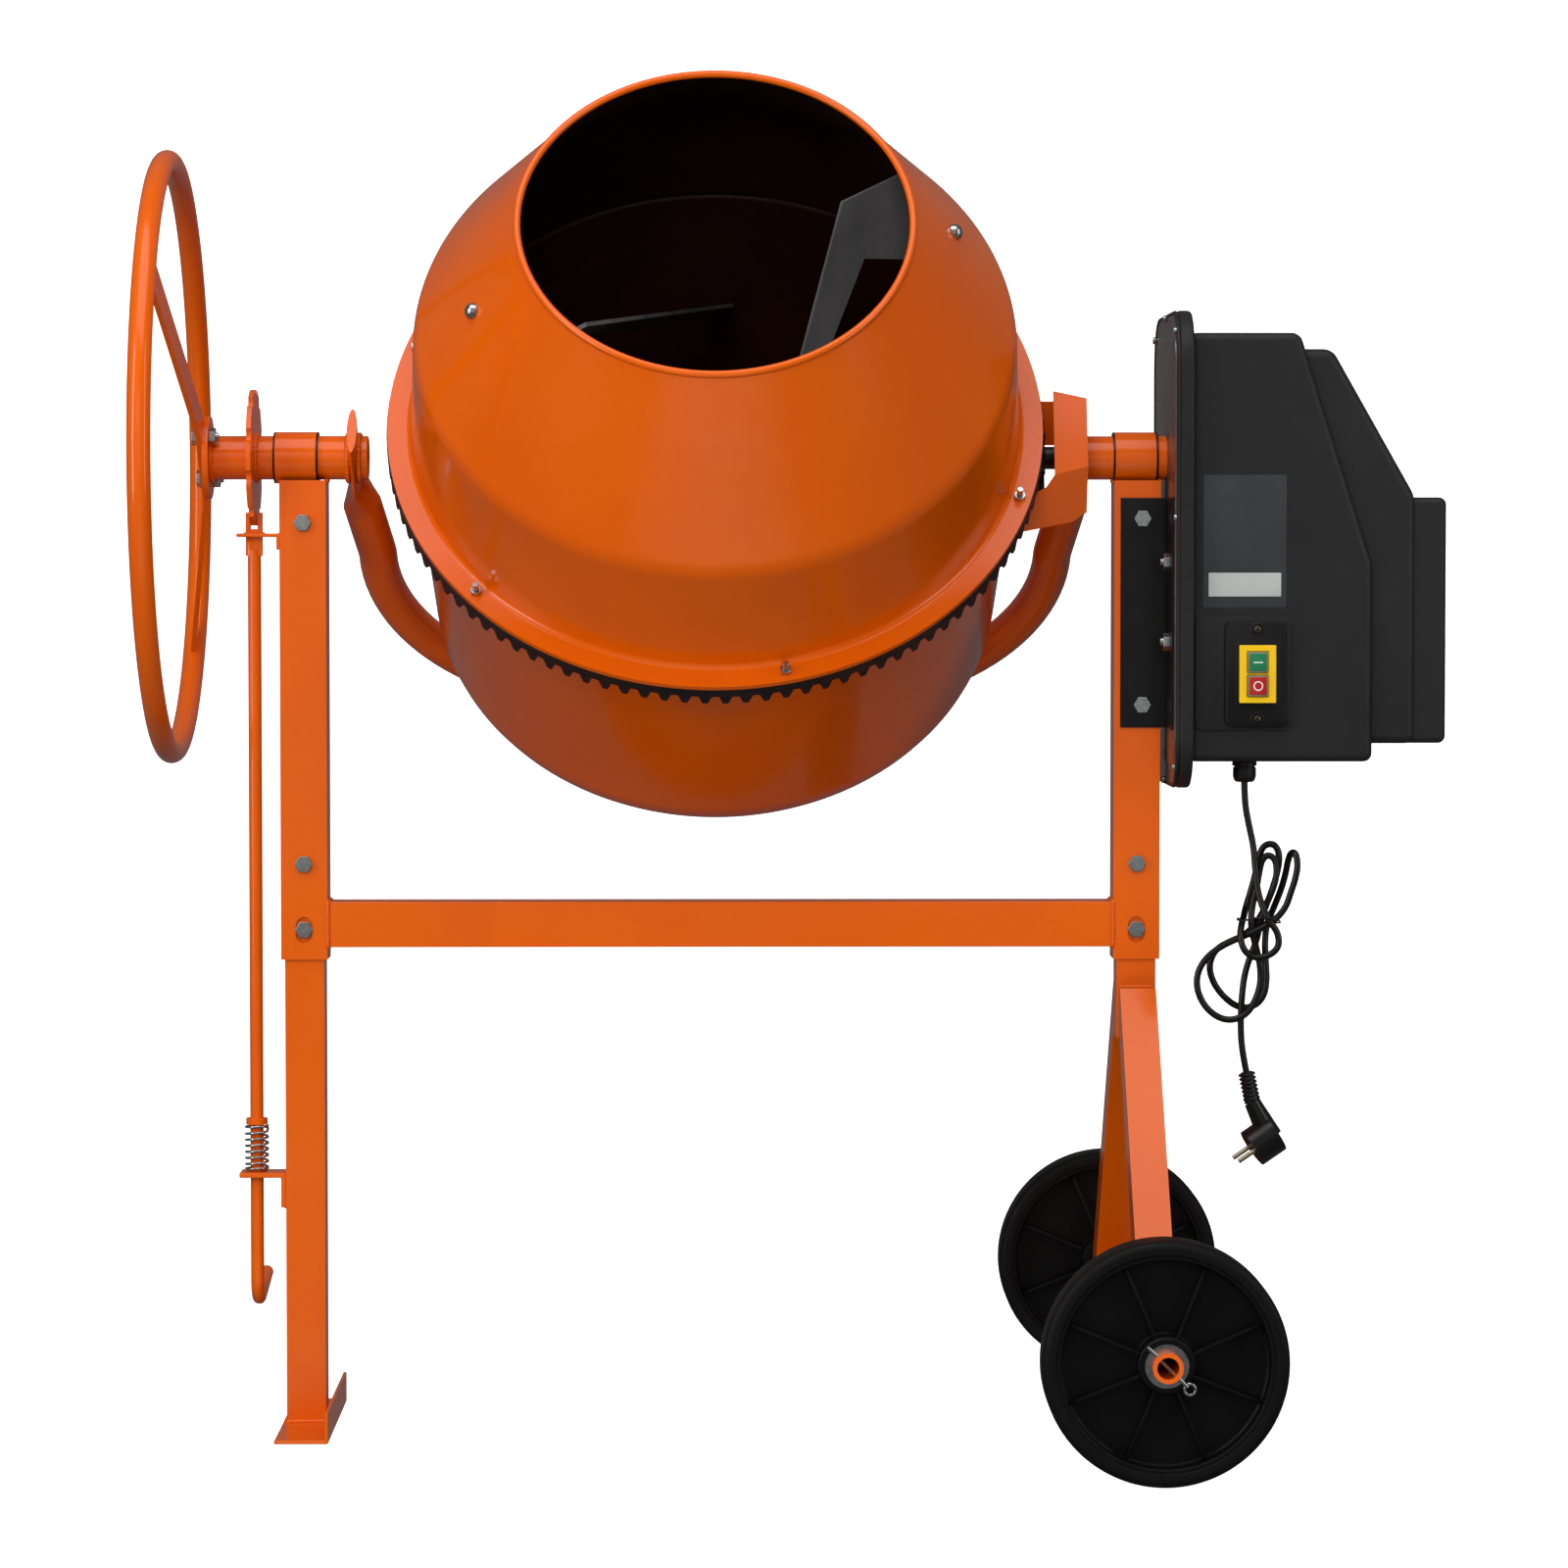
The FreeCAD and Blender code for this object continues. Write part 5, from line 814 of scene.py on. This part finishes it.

# %% [markdown]
# ## Pedal spring
# The spring's end coils are closed and ground flat, so the turns are tight at both ends. The
# real spring shortens as the pedal goes down; this coil keeps one length.

# %% Spring
SPRING_FOOT, SPRING_LENGTH, SPRING_TURNS = 247, 46, 8
WIRE, COIL = 2.6, 10.7
LATCH_X = -447
POINTS_A_TURN = 24
rise = (SPRING_LENGTH - 4 * WIRE) / (SPRING_TURNS - 2)
spring_points = []
for k in range(SPRING_TURNS * POINTS_A_TURN + 1):
    turn = k / POINTS_A_TURN
    if turn < 1:
        height = turn * WIRE
    elif turn < SPRING_TURNS - 1:
        height = WIRE + (turn - 1) * rise
    else:
        height = SPRING_LENGTH - WIRE - (SPRING_TURNS - turn) * WIRE
    angle = 2 * math.pi * turn
    spring_points.append(place(LATCH_X + COIL * math.cos(angle), COIL * math.sin(angle),
                               SPRING_FOOT + WIRE / 2 + min(height, SPRING_LENGTH - WIRE)))
spring = as_mesh(tube_along("pedal_spring_coil", spring_points, WIRE / 2, resolution=2))
settle(spring, "pedal_spring_coil", "frame", "zinc", zinc, replaces=("pedal_spring",), angle=60)
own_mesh(spring)
softened("latch_rod", "latch_rod_steel", "pedal", "orange_paint", powder_paint, 0.7, 2, 50)

# %% [markdown]
# ## Welds
# The frame is welded by hand before it is painted, so each joint has a rippled bead.

# %% Weld beads
LEFT_POST = -398.5


def square_round(x, y, z, half):
    """Corners of a level square about an upright tube."""
    return [place(x + sx * half, y + sy * half, z) for sx, sy in ((-1, -1), (1, -1), (1, 1), (-1, 1))]


stand_beads = [weld_bead(square_round(LEFT_POST, 0, 4.2, 19.4), 2.6)]
for x in (LEFT_POST + 22.8, RIGHT_POST - 22.8):
    stand_beads.append(weld_bead([place(x, sy * 22.2, 489 + sz * 22.2)
                                  for sy, sz in ((-1, -1), (1, -1), (1, 1), (-1, 1))], 2.2))
for x in (LEFT_POST, RIGHT_POST):
    for side in (-22, 22):
        stand_beads.append(weld_bead([place(x + side, y, 918.6) for y in (-10, 10)], 2.6, cyclic=False))
for sense in (-1, 1):
    stand_beads.append(weld_bead([place(RIGHT_POST + dx, sense * 19.8, 427.5) for dx in (-16.5, 16.5)], 2.6,
                                 cyclic=False))
    stand_beads.append(weld_bead(ring_points(facing_front(RIGHT_POST, sense * 254, WHEEL_HEIGHT), 14.6), 2.4))
stand_beads.append(weld_bead([place(-421.3, y, 866.5) for y in (-15, 15)], 2.0, cyclic=False))
stand_beads.append(weld_bead([place(-417.9, y, 213.5) for y in (-15, 15)], 2.0, cyclic=False))
settle(joined(stand_beads), "stand_welds", "frame", "orange_paint", powder_paint, angle=60)


def across(x):
    """A frame on the tilt axis with its z along the axis."""
    return AXLES @ Matrix.Translation((x * METRE, 0, 0)) @ Matrix.Rotation(math.pi / 2, 4, "Y")


yoke_beads = [weld_bead(ring_points(across(x), 22.4), size)
              for x, size in ((-344.4, 2.6), (-355.6, 2.6), (355.6, 2.6), (-443.8, 2.2), (-450.2, 2.2),
                              (-486.8, 2.2))]
hub_place = DRUM @ Matrix.Translation((0, 0, -0.373))
yoke_beads.append(weld_bead(ring_points(hub_place, 38.6), 2.6))
settle(joined(yoke_beads), "yoke_welds", "yoke", "orange_paint", powder_paint, angle=60)
plate_bead = weld_bead(ring_points(DRUM @ Matrix.Translation((0, 0, -0.2505)), 110.5, count=96), 2.4)
settle(plate_bead, "spindle_plate_weld", "drum", "orange_paint", powder_paint, angle=60)
print("welds done")

# %% Bits that keep their solid's shape
KEPT = {"shaft_bearings": ground_steel, "drive_shaft": black_enamel, "motor_shaft": ground_steel,
        "drive_belt": tyre_rubber, "motor_body": black_enamel, "plug_pins": nickel}
for node, material in KEPT.items():
    for solid_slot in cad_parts[node].material_slots:
        solid_slot.material = material
